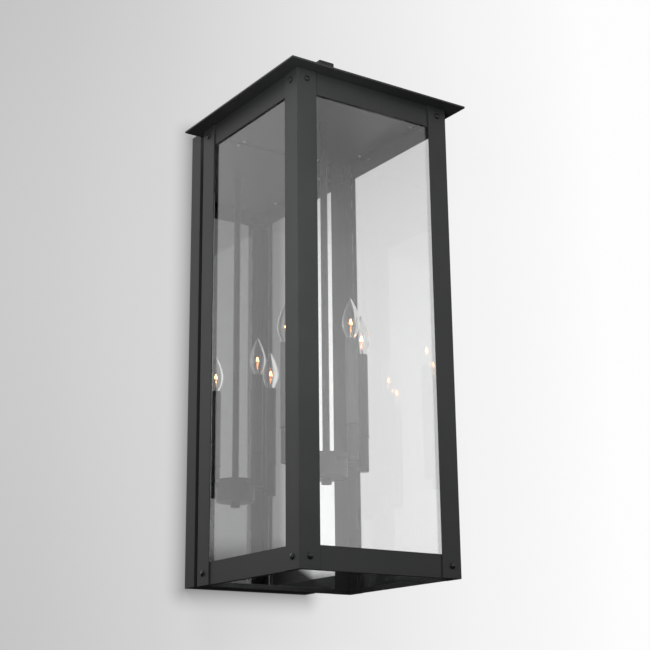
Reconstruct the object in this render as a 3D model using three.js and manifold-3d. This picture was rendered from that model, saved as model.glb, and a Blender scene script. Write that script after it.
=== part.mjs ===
// Outdoor wall lantern: a square open-bottomed cage of riveted angle posts and channel rails, with three
// glass sides and a mirror back, under a hipped roof. Four candle lamps stand round a hub that hangs on a
// centre pipe, and two standoffs join the cage to a tray-shaped back plate on the wall.
// Millimetres, +Z up. The origin is on the wall, in the middle of the wall bracket's back face, and the
// lantern stands out along -Y.

import * as THREE from 'three';
import { mergeVertices } from 'three/addons/utils/BufferGeometryUtils.js';
import Module from 'manifold-3d';

const wasm = await Module();
wasm.setup();

// ---------------------------------------------------------------------------------------------------
// Driving dimensions
// ---------------------------------------------------------------------------------------------------

const FIT = 0.4; // gap left between pieces that touch
const OVERRUN = 5; // how far a cutting tool runs past the face it cuts

// Cage
const CAGE_SIDE = 330;
const CAGE_HEIGHT = 868;
const POST_LEG = 40.5;
const POST_SHEET = 2;
const POST_CORNER_RADIUS = 1.2;
const RAIL_SHEET = 1.5;
const TOP_RAIL_HEIGHT = 41.5;
const BOTTOM_RAIL_HEIGHT = 40;
const RETAINING_LIP = 9;
const RIVET_INSET = 20;
const RIVET_HEIGHT = 21.3; // lower rivets, up from the cage's bottom
const RIVET_DROP = 17.3; // upper rivets, down from the cage's top
const RIVET_HEAD_RADIUS = 5.5;
const RIVET_HEAD_HEIGHT = 3;
const RIVET_SHANK_RADIUS = 2.5;
const GUSSET_SHEET = 1.5;
const GUSSET_LEG = 28;
const GUSSET_HEIGHT = 25;

// Glass and mirror
const GLASS_THICKNESS = 3;
const GLASS_INSET = 5.3; // cage's outer face to the glass
const GLASS_OVERLAP = 6.5; // glass edge behind the post leg
const MIRROR_INSET = 8.7; // cage's outer face to the silvered face
const MIRROR_EDGE_GAP = 0.5; // right post leg's edge to the mirror's edge, seen square on
const MIRROR_SIDE_GAP = 4; // left rail's lip to the mirror's edge
const BACK_PANEL_SHEET = 1.5;

// Roof
const ROOF_OVERHANG = 26.5;
const ROOF_EDGE = 3.3;
const ROOF_SLOPE_DEG = 28;
const ROOF_SHEET = 1.5;
const ROOF_SOFFIT = 46; // width of the flange turned in under the eave
const CAP_SIDE = 33;
const CAP_HEIGHT = 21.5;
const CAP_BORE_DEPTH = 14;
const CEILING_DROP = 9; // cage's top down to the ceiling's underside
const CEILING_SHEET = 1.5;
const CEILING_FLANGE = 8;

// Centre pipe, stem and hub
const PIPE_RADIUS = 5;
const PIPE_WALL = 1.8;
const STEM_WALL = 1;
const STEM_PLAY = 0.5; // pipe to the stem's bore
const COLLAR_WALL = 1.3;
const COLLAR_HEIGHT = 34;
const HUB_RADIUS = 38.1;
const HUB_BOTTOM = 182.5;
const HUB_HEIGHT = 42.5;
const HUB_SHEET = 1.5;
const FINIAL_RADIUS = 9.5;
const FINIAL_HEIGHT = 10.5;

// Candles
const CANDLE_REACH = 81; // cage's axis to each candle's axis
const ARM_RADIUS = 4.5;
const ARM_BORE_RADIUS = 3;
const ARM_HEIGHT = 31; // arm's axis above the hub's bottom
const CUP_STEP = 0.75; // how far the cup's side stands in from the sleeve's
const CUP_WALL = 1.4;
const CUP_DROP = 12; // cup's bottom below the arm's axis
const CUP_HEIGHT = 65;
const CUP_RING_PROUD = 1.25; // how far the ring stands out from the sleeve
const CUP_RING_HEIGHT = 3;
const SLEEVE_WALL = 1;
const SLEEVE_LENGTH = 152;
const SOCKET_WALL = 2.2;
const SOCKET_PLAY = 1.05; // lamp's base to the socket's bore
const SOCKET_LENGTH = 43;
const SOCKET_DEPTH = 30;
const SOCKET_FOOT_RADIUS = 3;
const BULB_RADIUS = 16;
const BULB_HEIGHT = 76; // glass above the sleeve's top
const BULB_BASE_RADIUS = 6.1;
const BULB_BASE_LENGTH = 23;

// Wall mounting
const PLATE_WIDTH = 264;
const PLATE_HEIGHT = 893;
const PLATE_DEPTH = 35.1;
const PLATE_SHEET = 1.5;
const PLATE_BOTTOM = 7.3; // plate's bottom above the cage's bottom
const STANDOFF_LENGTH = 70.3; // plate's front to the posts' back face
const STANDOFF_WIDTH = 70;
const STANDOFF_HEIGHT = 28;
const STANDOFF_SHEET = 2;
const WIRE_HOLE_RADIUS = 8;
const BRACKET_WIDTH = 130;
const BRACKET_HEIGHT = 32;
const BRACKET_SHEET = 2.5;
const STUD_SPACING = 95.2;
const STUD_RADIUS = 2.4;
const STUD_PROUD = 9; // stud past the plate's front
const CAP_NUT_RADIUS = 5.5;
const CAP_NUT_FLAT_HEIGHT = 6;

// ---------------------------------------------------------------------------------------------------
// Derived places
// ---------------------------------------------------------------------------------------------------

const CAGE_HALF = CAGE_SIDE / 2;
const RAIL_FACE = CAGE_HALF - POST_SHEET - FIT; // outer face of every rail, from the cage's axis
const RAIL_INNER = RAIL_FACE - RAIL_SHEET;
const GLASS_FACE = CAGE_HALF - GLASS_INSET;
const GLASS_BACK = GLASS_FACE - GLASS_THICKNESS;
const GLASS_HALF_WIDTH = CAGE_HALF - POST_LEG + GLASS_OVERLAP;
const GLASS_BOTTOM = RAIL_SHEET + FIT;
const GLASS_TOP = CAGE_HEIGHT - RAIL_SHEET - FIT;
const GLASS_LIP_FACE = GLASS_BACK - FIT; // glass side of the retaining lip
const SILVER_PLANE = CAGE_HALF - MIRROR_INSET;
const MIRROR_LIP_FACE = SILVER_PLANE - GLASS_THICKNESS - FIT; // the same at the back
const MIRROR_RIGHT = CAGE_HALF - POST_LEG - MIRROR_EDGE_GAP;
const MIRROR_LEFT = GLASS_LIP_FACE - RAIL_SHEET - MIRROR_SIDE_GAP; // runs on behind the left post's leg
const BACK_PANEL_FACE = SILVER_PLANE + FIT;
const BACK_PANEL_BACK = BACK_PANEL_FACE + BACK_PANEL_SHEET;
const BACK_PANEL_HALF_WIDTH = RAIL_INNER - GUSSET_LEG - 2 * FIT;

const CEILING_HEIGHT = CAGE_HEIGHT - CEILING_DROP;
const CEILING_HALF = MIRROR_LIP_FACE - RAIL_SHEET - 2 * FIT;
const ROOF_BASE = CAGE_HEIGHT + FIT;
const ROOF_HALF = CAGE_HALF + ROOF_OVERHANG;
const ROOF_FLAT_HALF = CAP_SIDE / 2;
const ROOF_RISE = (ROOF_HALF - ROOF_FLAT_HALF) * Math.tan(THREE.MathUtils.degToRad(ROOF_SLOPE_DEG));
const ROOF_TOP = ROOF_BASE + ROOF_EDGE + ROOF_RISE;
const CAP_BASE = ROOF_TOP + FIT;

const PIPE_HOLE_RADIUS = PIPE_RADIUS + FIT;
const STEM_BORE_RADIUS = PIPE_RADIUS + STEM_PLAY;
const STEM_RADIUS = STEM_BORE_RADIUS + STEM_WALL;
const COLLAR_BORE_RADIUS = STEM_RADIUS + FIT;
const COLLAR_RADIUS = COLLAR_BORE_RADIUS + COLLAR_WALL;
const STEM_TOP = CEILING_HEIGHT - FIT;

const HUB_TOP = HUB_BOTTOM + HUB_HEIGHT;
const FINIAL_BOTTOM = HUB_BOTTOM - FIT - FINIAL_HEIGHT;
const FINIAL_BORE_BOTTOM = FINIAL_BOTTOM + 3;
const ARM_AXIS = HUB_BOTTOM + ARM_HEIGHT;
const CUP_BOTTOM = ARM_AXIS - CUP_DROP;
const CUP_TOP = CUP_BOTTOM + CUP_HEIGHT;
const SLEEVE_BOTTOM = CUP_TOP + FIT;
const SLEEVE_TOP = SLEEVE_BOTTOM + SLEEVE_LENGTH;
const SOCKET_BORE_RADIUS = BULB_BASE_RADIUS + SOCKET_PLAY;
const SOCKET_RADIUS = SOCKET_BORE_RADIUS + SOCKET_WALL;
const SLEEVE_BORE_RADIUS = SOCKET_RADIUS + FIT;
const SLEEVE_RADIUS = SLEEVE_BORE_RADIUS + SLEEVE_WALL;
const CUP_RADIUS = SLEEVE_RADIUS - CUP_STEP;
const CUP_RING_RADIUS = SLEEVE_RADIUS + CUP_RING_PROUD;
const SOCKET_TOP = SLEEVE_TOP - 4;
const BULB_BASE_BOTTOM = SOCKET_TOP - BULB_BASE_LENGTH - 2;

const CAGE_AXIS_Y = -(PLATE_DEPTH + STANDOFF_LENGTH + CAGE_HALF);
const CAGE_BOTTOM_Z = -(PLATE_BOTTOM + PLATE_HEIGHT / 2);
const STANDOFF_END = CAGE_HALF + STANDOFF_LENGTH - FIT; // at the plate, from the cage's axis
const UPPER_STANDOFF_Z = CAGE_HEIGHT - TOP_RAIL_HEIGHT / 2;
const LOWER_STANDOFF_Z = BOTTOM_RAIL_HEIGHT - STANDOFF_HEIGHT / 2 - 2 * FIT;

// ---------------------------------------------------------------------------------------------------
// Geometry helpers
// ---------------------------------------------------------------------------------------------------

/** Merge shared vertices, drop collapsed triangles and make the faces point outwards. */
function closed(geometry) {
  const bare = geometry.clone();
  bare.deleteAttribute('normal');
  bare.deleteAttribute('uv');
  const welded = mergeVertices(bare, 1e-4);
  const index = welded.index.array;
  const position = welded.attributes.position;
  const corner = [new THREE.Vector3(), new THREE.Vector3(), new THREE.Vector3()];
  const kept = [];
  let volume = 0;
  for (let i = 0; i < index.length; i += 3) {
    const [a, b, c] = [index[i], index[i + 1], index[i + 2]];
    if (a === b || b === c || c === a) continue;
    kept.push(a, b, c);
    [a, b, c].forEach((vertex, k) => corner[k].fromBufferAttribute(position, vertex));
    volume += corner[0].dot(corner[1].clone().cross(corner[2]));
  }
  if (volume < 0) kept.reverse();
  welded.setIndex(kept);
  return welded;
}

function toSolid(geometry) {
  const shell = closed(geometry);
  const vertProperties = new Float32Array(shell.attributes.position.array);
  const triVerts = new Uint32Array(shell.index.array);
  return new wasm.Manifold(new wasm.Mesh({ numProp: 3, vertProperties, triVerts }));
}

function fromSolid(solid) {
  const mesh = solid.getMesh();
  const geometry = new THREE.BufferGeometry();
  geometry.setAttribute('position', new THREE.BufferAttribute(new Float32Array(mesh.vertProperties), 3));
  geometry.setIndex(Array.from(mesh.triVerts));
  return geometry;
}

function cut(geometry, tools) {
  return fromSolid(tools.reduce((rest, tool) => rest.subtract(toSolid(tool)), toSolid(geometry)));
}

function join(geometries) {
  return fromSolid(geometries.map(toSolid).reduce((sum, solid) => sum.add(solid)));
}

/** Box between two corners. */
function block(low, high) {
  const geometry = new THREE.BoxGeometry(high[0] - low[0], high[1] - low[1], high[2] - low[2]);
  return geometry.translate((low[0] + high[0]) / 2, (low[1] + high[1]) / 2, (low[2] + high[2]) / 2);
}

/** Solid turned about Z from a profile of [radius, height] points that meets the axis or closes. */
function turned(profile, segments = 16) {
  const points = profile.map(([radius, height]) => new THREE.Vector2(radius, height));
  return closed(new THREE.LatheGeometry(points, segments).rotateX(Math.PI / 2));
}

/** Square counterpart of turned(): the profile's first value is half the square's side. */
function squareTurned(profile) {
  const points = profile.map(([half, height]) => new THREE.Vector2(half * Math.SQRT2, height));
  return closed(new THREE.LatheGeometry(points, 4).rotateX(Math.PI / 2).rotateZ(Math.PI / 4));
}

/** Round tube on Z between two heights. */
function tube(outer, inner, low, high, segments = 16) {
  return turned([[outer, low], [outer, high], [inner, high], [inner, low], [outer, low]], segments);
}

/** Round bar along +X, +Y or +Z from one place to another on that axis. */
function bar(radius, axis, low, high, segments = 12) {
  const geometry = new THREE.CylinderGeometry(radius, radius, high - low, segments);
  geometry.translate(0, (low + high) / 2, 0);
  if (axis === 'x') geometry.rotateZ(-Math.PI / 2);
  if (axis === 'z') geometry.rotateX(Math.PI / 2);
  return geometry;
}

function outline(points) {
  return new THREE.Shape(points.map(([x, y]) => new THREE.Vector2(x, y)));
}

// ---------------------------------------------------------------------------------------------------
// Cage, drawn for the side or corner that faces -Y and turned about the cage's axis
// ---------------------------------------------------------------------------------------------------

const RIVET_PLACE = CAGE_HALF - RIVET_INSET; // rivet's place along a side, from its middle
const RIVET_LEVELS = { bottom: RIVET_HEIGHT, top: CAGE_HEIGHT - RIVET_DROP };

/** Angle post at the -X -Y corner. */
function postGeometry() {
  const shape = new THREE.Shape();
  const edge = CAGE_HALF;
  const inside = edge - POST_SHEET;
  const end = edge - POST_LEG;
  shape.moveTo(-end, -edge);
  shape.lineTo(-edge + POST_CORNER_RADIUS, -edge);
  shape.absarc(-edge + POST_CORNER_RADIUS, -edge + POST_CORNER_RADIUS, POST_CORNER_RADIUS,
    -Math.PI / 2, -Math.PI, true);
  shape.lineTo(-edge, -end);
  shape.lineTo(-inside, -end);
  shape.lineTo(-inside, -inside);
  shape.lineTo(-end, -inside);
  const post = new THREE.ExtrudeGeometry(shape, { depth: CAGE_HEIGHT, bevelEnabled: false, curveSegments: 3 });
  const holes = Object.values(RIVET_LEVELS).flatMap((level) => {
    const radius = RIVET_SHANK_RADIUS + FIT;
    return [
      bar(radius, 'y', -edge - OVERRUN, -inside + OVERRUN).translate(-RIVET_PLACE, 0, level),
      bar(radius, 'x', -edge - OVERRUN, -inside + OVERRUN).translate(0, -RIVET_PLACE, level),
    ];
  });
  return cut(post, holes);
}

/** Channel from a section of [inward depth, height] points, its ends mitred to meet the next side. */
function channel(section) {
  const shape = outline(section.map(([depth, height]) => [RAIL_FACE - depth, height]));
  const geometry = new THREE.ExtrudeGeometry(shape, { depth: 1, bevelEnabled: false });
  const position = geometry.attributes.position;
  for (let i = 0; i < position.count; i += 1) {
    const out = position.getX(i);
    const end = position.getZ(i) > 0.5 ? 1 : -1;
    position.setXYZ(i, end * (out - FIT), -out, position.getY(i));
  }
  return geometry;
}

/** Rail with its rivet holes, one at each end. */
function railGeometry(section, level) {
  const holes = [-1, 1].map((end) => {
    const hole = bar(RIVET_SHANK_RADIUS + FIT, 'y', -RAIL_FACE - OVERRUN, -RAIL_INNER + OVERRUN);
    return hole.translate(end * RIVET_PLACE, 0, level);
  });
  return cut(channel(section), holes);
}

/** Lower rail: a trough that holds the glass between its web and a low inner lip. */
function bottomRailGeometry(lipFace) {
  const lipInner = RAIL_FACE - lipFace + RAIL_SHEET;
  return railGeometry([
    [0, 0], [lipInner, 0], [lipInner, RETAINING_LIP], [lipInner - RAIL_SHEET, RETAINING_LIP],
    [lipInner - RAIL_SHEET, RAIL_SHEET], [RAIL_SHEET, RAIL_SHEET], [RAIL_SHEET, BOTTOM_RAIL_HEIGHT],
    [0, BOTTOM_RAIL_HEIGHT],
  ], RIVET_LEVELS.bottom);
}

/** Upper rail: a web with a flange and hanging lip over the glass, and a flange turned in below. */
function topRailGeometry(lipFace, lowerFlange) {
  const lipInner = RAIL_FACE - lipFace + RAIL_SHEET;
  const bottom = CAGE_HEIGHT - TOP_RAIL_HEIGHT;
  const underTop = CAGE_HEIGHT - RAIL_SHEET;
  const lipBottom = CAGE_HEIGHT - RETAINING_LIP;
  return railGeometry([
    [0, CAGE_HEIGHT], [0, bottom], [lowerFlange, bottom], [lowerFlange, bottom + RAIL_SHEET],
    [RAIL_SHEET, bottom + RAIL_SHEET], [RAIL_SHEET, underTop], [lipInner - RAIL_SHEET, underTop],
    [lipInner - RAIL_SHEET, lipBottom], [lipInner, lipBottom], [lipInner, CAGE_HEIGHT],
  ], RIVET_LEVELS.top);
}

/** Round-headed rivet through the post and the rail, on the side that faces -Y. */
function rivetGeometry() {
  const seat = CAGE_HALF + FIT;
  const inner = RAIL_INNER - FIT - GUSSET_SHEET;
  const dome = [];
  const steps = 3;
  for (let i = 0; i <= steps; i += 1) {
    const angle = (i / steps) * (Math.PI / 2);
    dome.push([RIVET_HEAD_RADIUS * Math.cos(angle), seat + RIVET_HEAD_HEIGHT * Math.sin(angle)]);
  }
  const rivet = turned([[0, inner], [RIVET_SHANK_RADIUS, inner], [RIVET_SHANK_RADIUS, seat], ...dome], 12);
  return rivet.rotateX(Math.PI / 2);
}

/** Corner gusset at the -X -Y corner, made in one with the two rivets that fix it. */
function gussetGeometry(level) {
  const outer = RAIL_INNER - FIT;
  const inner = outer - GUSSET_SHEET;
  const end = outer - GUSSET_LEG;
  const angle = outline([[-outer, -outer], [-end, -outer], [-end, -inner], [-inner, -inner], [-inner, -end],
    [-outer, -end]]);
  const plate = new THREE.ExtrudeGeometry(angle, { depth: GUSSET_HEIGHT, bevelEnabled: false });
  plate.translate(0, 0, level - GUSSET_HEIGHT / 2);
  const front = rivetGeometry().translate(-RIVET_PLACE, 0, level);
  const side = rivetGeometry().rotateZ(-Math.PI / 2).translate(0, -RIVET_PLACE, level);
  return join([plate, front, side]);
}

function wireHole(low, high) {
  return bar(WIRE_HOLE_RADIUS, 'y', low, high).translate(0, 0, UPPER_STANDOFF_Z);
}

function glassGeometry() {
  return block([-GLASS_HALF_WIDTH, -GLASS_FACE, GLASS_BOTTOM], [GLASS_HALF_WIDTH, -GLASS_BACK, GLASS_TOP]);
}

function mirrorGeometry() {
  const front = SILVER_PLANE - GLASS_THICKNESS;
  return block([-MIRROR_LEFT, front, GLASS_BOTTOM], [MIRROR_RIGHT, SILVER_PLANE, GLASS_TOP]);
}

function backPanelGeometry() {
  const half = BACK_PANEL_HALF_WIDTH;
  const panel = block([-half, BACK_PANEL_FACE, GLASS_BOTTOM], [half, BACK_PANEL_BACK, GLASS_TOP]);
  return cut(panel, [wireHole(BACK_PANEL_FACE - OVERRUN, BACK_PANEL_BACK + OVERRUN)]);
}

// ---------------------------------------------------------------------------------------------------
// Roof and ceiling, on the cage's axis
// ---------------------------------------------------------------------------------------------------

/** Hipped sheet roof with a flat top for the cap and a flange turned in under the eave. */
function roofGeometry() {
  const hole = PIPE_HOLE_RADIUS;
  const soffit = ROOF_HALF - ROOF_SOFFIT;
  const slope = ROOF_RISE / (ROOF_HALF - ROOF_FLAT_HALF);
  const innerEave = ROOF_HALF - ROOF_SHEET;
  const innerFlat = ROOF_FLAT_HALF - ROOF_SHEET * slope;
  const underTop = ROOF_TOP - ROOF_SHEET;
  const underEave = underTop - (innerEave - innerFlat) * slope;
  return squareTurned([
    [ROOF_HALF, ROOF_BASE], [ROOF_HALF, ROOF_BASE + ROOF_EDGE], [ROOF_FLAT_HALF, ROOF_TOP], [hole, ROOF_TOP],
    [hole, underTop], [innerFlat, underTop], [innerEave, Math.max(underEave, ROOF_BASE + ROOF_SHEET + FIT)],
    [innerEave, ROOF_BASE + ROOF_SHEET], [soffit, ROOF_BASE + ROOF_SHEET], [soffit, ROOF_BASE],
    [ROOF_HALF, ROOF_BASE],
  ]);
}

/** Square cap nut with chamfered top edges and a blind bore for the pipe. */
function capGeometry() {
  const half = CAP_SIDE / 2;
  const chamfer = 1.5;
  const body = squareTurned([
    [0, CAP_BASE], [half, CAP_BASE], [half, CAP_BASE + CAP_HEIGHT - chamfer],
    [half - chamfer, CAP_BASE + CAP_HEIGHT], [0, CAP_BASE + CAP_HEIGHT],
  ]);
  return cut(body, [bar(PIPE_HOLE_RADIUS, 'z', CAP_BASE - OVERRUN, CAP_BASE + CAP_BORE_DEPTH, 16)]);
}

/** Square ceiling tray with an upturned edge and a hole for the pipe. */
function ceilingGeometry() {
  const top = CEILING_HEIGHT + CEILING_SHEET;
  const edge = CEILING_HEIGHT + CEILING_FLANGE;
  const inside = CEILING_HALF - CEILING_SHEET;
  return squareTurned([
    [PIPE_HOLE_RADIUS, CEILING_HEIGHT], [CEILING_HALF, CEILING_HEIGHT], [CEILING_HALF, edge], [inside, edge],
    [inside, top], [PIPE_HOLE_RADIUS, top], [PIPE_HOLE_RADIUS, CEILING_HEIGHT],
  ]);
}

// ---------------------------------------------------------------------------------------------------
// Candle cluster, on the cage's axis, with each candle drawn on its own axis
// ---------------------------------------------------------------------------------------------------

function armHole(low, high) {
  return bar(ARM_RADIUS + FIT, 'x', low, high).translate(0, 0, ARM_AXIS);
}

/** Drum that carries the arms, open below for its cover. */
function hubGeometry() {
  const bore = PIPE_HOLE_RADIUS;
  const drum = turned([
    [HUB_RADIUS, HUB_BOTTOM], [HUB_RADIUS, HUB_TOP], [bore, HUB_TOP], [bore, HUB_TOP - HUB_SHEET],
    [HUB_RADIUS - HUB_SHEET, HUB_TOP - HUB_SHEET], [HUB_RADIUS - HUB_SHEET, HUB_BOTTOM], [HUB_RADIUS, HUB_BOTTOM],
  ], 24);
  const reach = HUB_RADIUS + OVERRUN;
  return cut(drum, [armHole(-reach, reach), armHole(-reach, reach).rotateZ(Math.PI / 2)]);
}

function hubCoverGeometry() {
  return tube(HUB_RADIUS - HUB_SHEET - FIT, PIPE_HOLE_RADIUS, HUB_BOTTOM, HUB_BOTTOM + HUB_SHEET, 24);
}

function hubFinialGeometry() {
  const top = HUB_BOTTOM - FIT;
  const bore = PIPE_HOLE_RADIUS;
  const floor = FINIAL_BORE_BOTTOM;
  return turned([
    [0, FINIAL_BOTTOM], [FINIAL_RADIUS * 0.7, FINIAL_BOTTOM], [FINIAL_RADIUS, FINIAL_BOTTOM + 3],
    [FINIAL_RADIUS, top], [bore, top], [bore, floor], [0, floor],
  ]);
}

/** Arm along +X, from inside the hub's wall to inside the cup's wall. */
function armGeometry() {
  const start = HUB_RADIUS - HUB_SHEET - 1;
  const end = CANDLE_REACH - CUP_RADIUS + CUP_WALL;
  return tube(ARM_RADIUS, ARM_BORE_RADIUS, start, end, 12).rotateY(Math.PI / 2).translate(0, 0, ARM_AXIS);
}

/** Cup with a ring round its rim, bored on its inner side for the arm. */
function cupGeometry() {
  const inner = CUP_RADIUS - CUP_WALL;
  const cup = turned([
    [0, CUP_BOTTOM], [CUP_RADIUS - 1, CUP_BOTTOM], [CUP_RADIUS, CUP_BOTTOM + 1],
    [CUP_RADIUS, CUP_TOP - CUP_RING_HEIGHT], [CUP_RING_RADIUS, CUP_TOP - CUP_RING_HEIGHT + 0.8],
    [CUP_RING_RADIUS, CUP_TOP - 0.8], [CUP_RING_RADIUS - 0.8, CUP_TOP], [inner, CUP_TOP],
    [inner, CUP_BOTTOM + CUP_WALL], [0, CUP_BOTTOM + CUP_WALL],
  ]);
  return cut(cup, [armHole(-CUP_RADIUS - OVERRUN, 0)]);
}

function sleeveGeometry() {
  return tube(SLEEVE_RADIUS, SLEEVE_BORE_RADIUS, SLEEVE_BOTTOM, SLEEVE_TOP);
}

/** Lamp socket, a bored barrel on a thin foot that stands in the cup. */
function socketGeometry() {
  const bore = SOCKET_BORE_RADIUS;
  const barrelBottom = SOCKET_TOP - SOCKET_LENGTH;
  const boreBottom = SOCKET_TOP - SOCKET_DEPTH;
  const foot = CUP_BOTTOM + CUP_WALL + FIT;
  return turned([
    [0, foot], [SOCKET_FOOT_RADIUS, foot], [SOCKET_FOOT_RADIUS, barrelBottom], [SOCKET_RADIUS, barrelBottom],
    [SOCKET_RADIUS, SOCKET_TOP], [bore, SOCKET_TOP], [bore, boreBottom], [0, boreBottom],
  ], 12);
}

/** Torpedo lamp: a straight base, a waist at the sleeve's mouth, and an envelope that closes to a tip. */
function bulbGeometry() {
  const neck = BULB_BASE_RADIUS + 0.9;
  const profile = [[0, BULB_BASE_BOTTOM], [BULB_BASE_RADIUS, BULB_BASE_BOTTOM], [BULB_BASE_RADIUS, SOCKET_TOP],
    [neck, SLEEVE_TOP]];
  const steps = 8;
  const widest = 0.36; // share of the envelope's height at which it is widest
  for (let i = 1; i < steps; i += 1) {
    const share = i / steps;
    const low = share < widest;
    const turn = low ? (share / widest) * (Math.PI / 2) : ((share - widest) / (1 - widest)) * (Math.PI / 2);
    const radius = low
      ? neck + (BULB_RADIUS - neck) * Math.sin(turn)
      : BULB_RADIUS * Math.cos(turn) ** 0.85;
    profile.push([radius, SLEEVE_TOP + share * BULB_HEIGHT]);
  }
  profile.push([0, SLEEVE_TOP + BULB_HEIGHT]);
  return turned(profile, 12);
}

// ---------------------------------------------------------------------------------------------------
// Wall mounting, in the row's own frame
// ---------------------------------------------------------------------------------------------------

/** Crossbar with its two threaded studs. */
function bracketGeometry() {
  const crossbar = block(
    [-BRACKET_WIDTH / 2, -BRACKET_SHEET, -BRACKET_HEIGHT / 2],
    [BRACKET_WIDTH / 2, 0, BRACKET_HEIGHT / 2],
  );
  const stud = bar(STUD_RADIUS, 'y', -PLATE_DEPTH - STUD_PROUD, -BRACKET_SHEET / 2);
  const studs = [-1, 1].map((side) => stud.clone().translate((side * STUD_SPACING) / 2, 0, 0));
  return join([crossbar, ...studs]);
}

/** Tray with its open side to the wall, holed for the studs and for the wires to the upper standoff. */
function backPlateGeometry() {
  const halfWidth = PLATE_WIDTH / 2;
  const halfHeight = PLATE_HEIGHT / 2;
  const tray = block([-halfWidth, -PLATE_DEPTH, -halfHeight], [halfWidth, 0, halfHeight]);
  const hollow = block(
    [-halfWidth + PLATE_SHEET, -PLATE_DEPTH + PLATE_SHEET, -halfHeight + PLATE_SHEET],
    [halfWidth - PLATE_SHEET, OVERRUN, halfHeight - PLATE_SHEET],
  );
  const studHole = bar(STUD_RADIUS + FIT, 'y', -PLATE_DEPTH - OVERRUN, -PLATE_DEPTH + OVERRUN);
  const studHoles = [-1, 1].map((side) => studHole.clone().translate((side * STUD_SPACING) / 2, 0, 0));
  const wires = wireHole(-PLATE_DEPTH - OVERRUN, -PLATE_DEPTH + OVERRUN).translate(0, 0, CAGE_BOTTOM_Z);
  return cut(tray, [hollow, ...studHoles, wires]);
}

/** Domed cap nut on a stud, against the plate's front. */
function capNutGeometry() {
  const seat = PLATE_DEPTH + FIT;
  const hexagon = bar(CAP_NUT_RADIUS, 'y', -seat - CAP_NUT_FLAT_HEIGHT, -seat, 6);
  const dome = new THREE.SphereGeometry(CAP_NUT_RADIUS * 0.84, 12, 6);
  dome.translate(0, -seat - CAP_NUT_FLAT_HEIGHT, 0);
  const boreEnd = -PLATE_DEPTH - STUD_PROUD - FIT;
  return cut(join([hexagon, dome]), [bar(STUD_RADIUS + FIT, 'y', boreEnd, -seat + OVERRUN)]);
}

/** Rectangular tube between the plate and the cage's back rails, drawn about its own height. */
function standoffGeometry() {
  const halfWidth = STANDOFF_WIDTH / 2;
  const halfHeight = STANDOFF_HEIGHT / 2;
  const shape = outline([[-halfWidth, -halfHeight], [halfWidth, -halfHeight], [halfWidth, halfHeight],
    [-halfWidth, halfHeight]]);
  const innerWidth = halfWidth - STANDOFF_SHEET;
  const innerHeight = halfHeight - STANDOFF_SHEET;
  shape.holes.push(outline([[-innerWidth, -innerHeight], [-innerWidth, innerHeight], [innerWidth, innerHeight],
    [innerWidth, -innerHeight]]));
  const start = RAIL_FACE + FIT;
  const geometry = new THREE.ExtrudeGeometry(shape, { depth: STANDOFF_END - start, bevelEnabled: false });
  return geometry.rotateX(-Math.PI / 2).translate(0, start, 0);
}

// ---------------------------------------------------------------------------------------------------
// Materials
// ---------------------------------------------------------------------------------------------------

function material(color, roughness, metalness, extra = {}) {
  return new THREE.MeshStandardMaterial({ color, roughness, metalness, ...extra });
}

const blackCoat = material(0x2b2e2d, 0.55, 0.2);
const zinc = material(0x9da1a3, 0.4, 0.9);
const brass = material(0xb08d4a, 0.35, 0.9);
const clearGlass = material(0xf2f7f7, 0.03, 0, { transparent: true, opacity: 0.25 });
const bulbGlass = material(0xfff6ea, 0.03, 0, { transparent: true, opacity: 0.35 });
const silvered = material(0xe6e9ea, 0.04, 1);
const socketPlastic = material(0x1e1d1b, 0.5, 0);

// ---------------------------------------------------------------------------------------------------
// Assembly
// ---------------------------------------------------------------------------------------------------

const lantern = new THREE.Group();
const cage = new THREE.Group();
cage.position.set(0, CAGE_AXIS_Y, CAGE_BOTTOM_Z);
lantern.add(cage);

function place(parent, name, geometry, finish, turn = 0) {
  const mesh = new THREE.Mesh(geometry, finish);
  mesh.name = name;
  mesh.rotation.z = turn;
  parent.add(mesh);
  return mesh;
}

// Sides and corners in order round the cage, each a quarter turn on from the last.
const QUARTER = Math.PI / 2;
const sides = ['front', 'right', 'back', 'left'];
const corners = ['front_left', 'front_right', 'back_right', 'back_left'];

const lowerFlangeToGlass = RAIL_FACE - GLASS_FACE - FIT;
const lowerFlangeToPanel = RAIL_FACE - BACK_PANEL_BACK - FIT;
sides.forEach((side, i) => {
  const isBack = side === 'back';
  const lipFace = isBack ? MIRROR_LIP_FACE : GLASS_LIP_FACE;
  let topRail = topRailGeometry(lipFace, isBack ? lowerFlangeToPanel : lowerFlangeToGlass);
  if (isBack) topRail = cut(topRail, [wireHole(-RAIL_FACE - OVERRUN, -RAIL_INNER + OVERRUN)]);
  place(cage, `top_rail_${side}`, topRail, blackCoat, i * QUARTER);
  place(cage, `bottom_rail_${side}`, bottomRailGeometry(lipFace), blackCoat, i * QUARTER);
  if (!isBack) place(cage, `glass_${side}`, glassGeometry(), clearGlass, i * QUARTER);
});
corners.forEach((corner, i) => {
  place(cage, `post_${corner}`, postGeometry(), blackCoat, i * QUARTER);
  Object.entries(RIVET_LEVELS).forEach(([end, level]) => {
    place(cage, `riveted_gusset_${end}_${corner}`, gussetGeometry(level), blackCoat, i * QUARTER);
  });
});
place(cage, 'mirror', mirrorGeometry(), silvered);
place(cage, 'back_panel', backPanelGeometry(), blackCoat);

place(cage, 'roof', roofGeometry(), blackCoat);
place(cage, 'roof_cap', capGeometry(), blackCoat);
place(cage, 'ceiling_plate', ceilingGeometry(), blackCoat);

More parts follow.
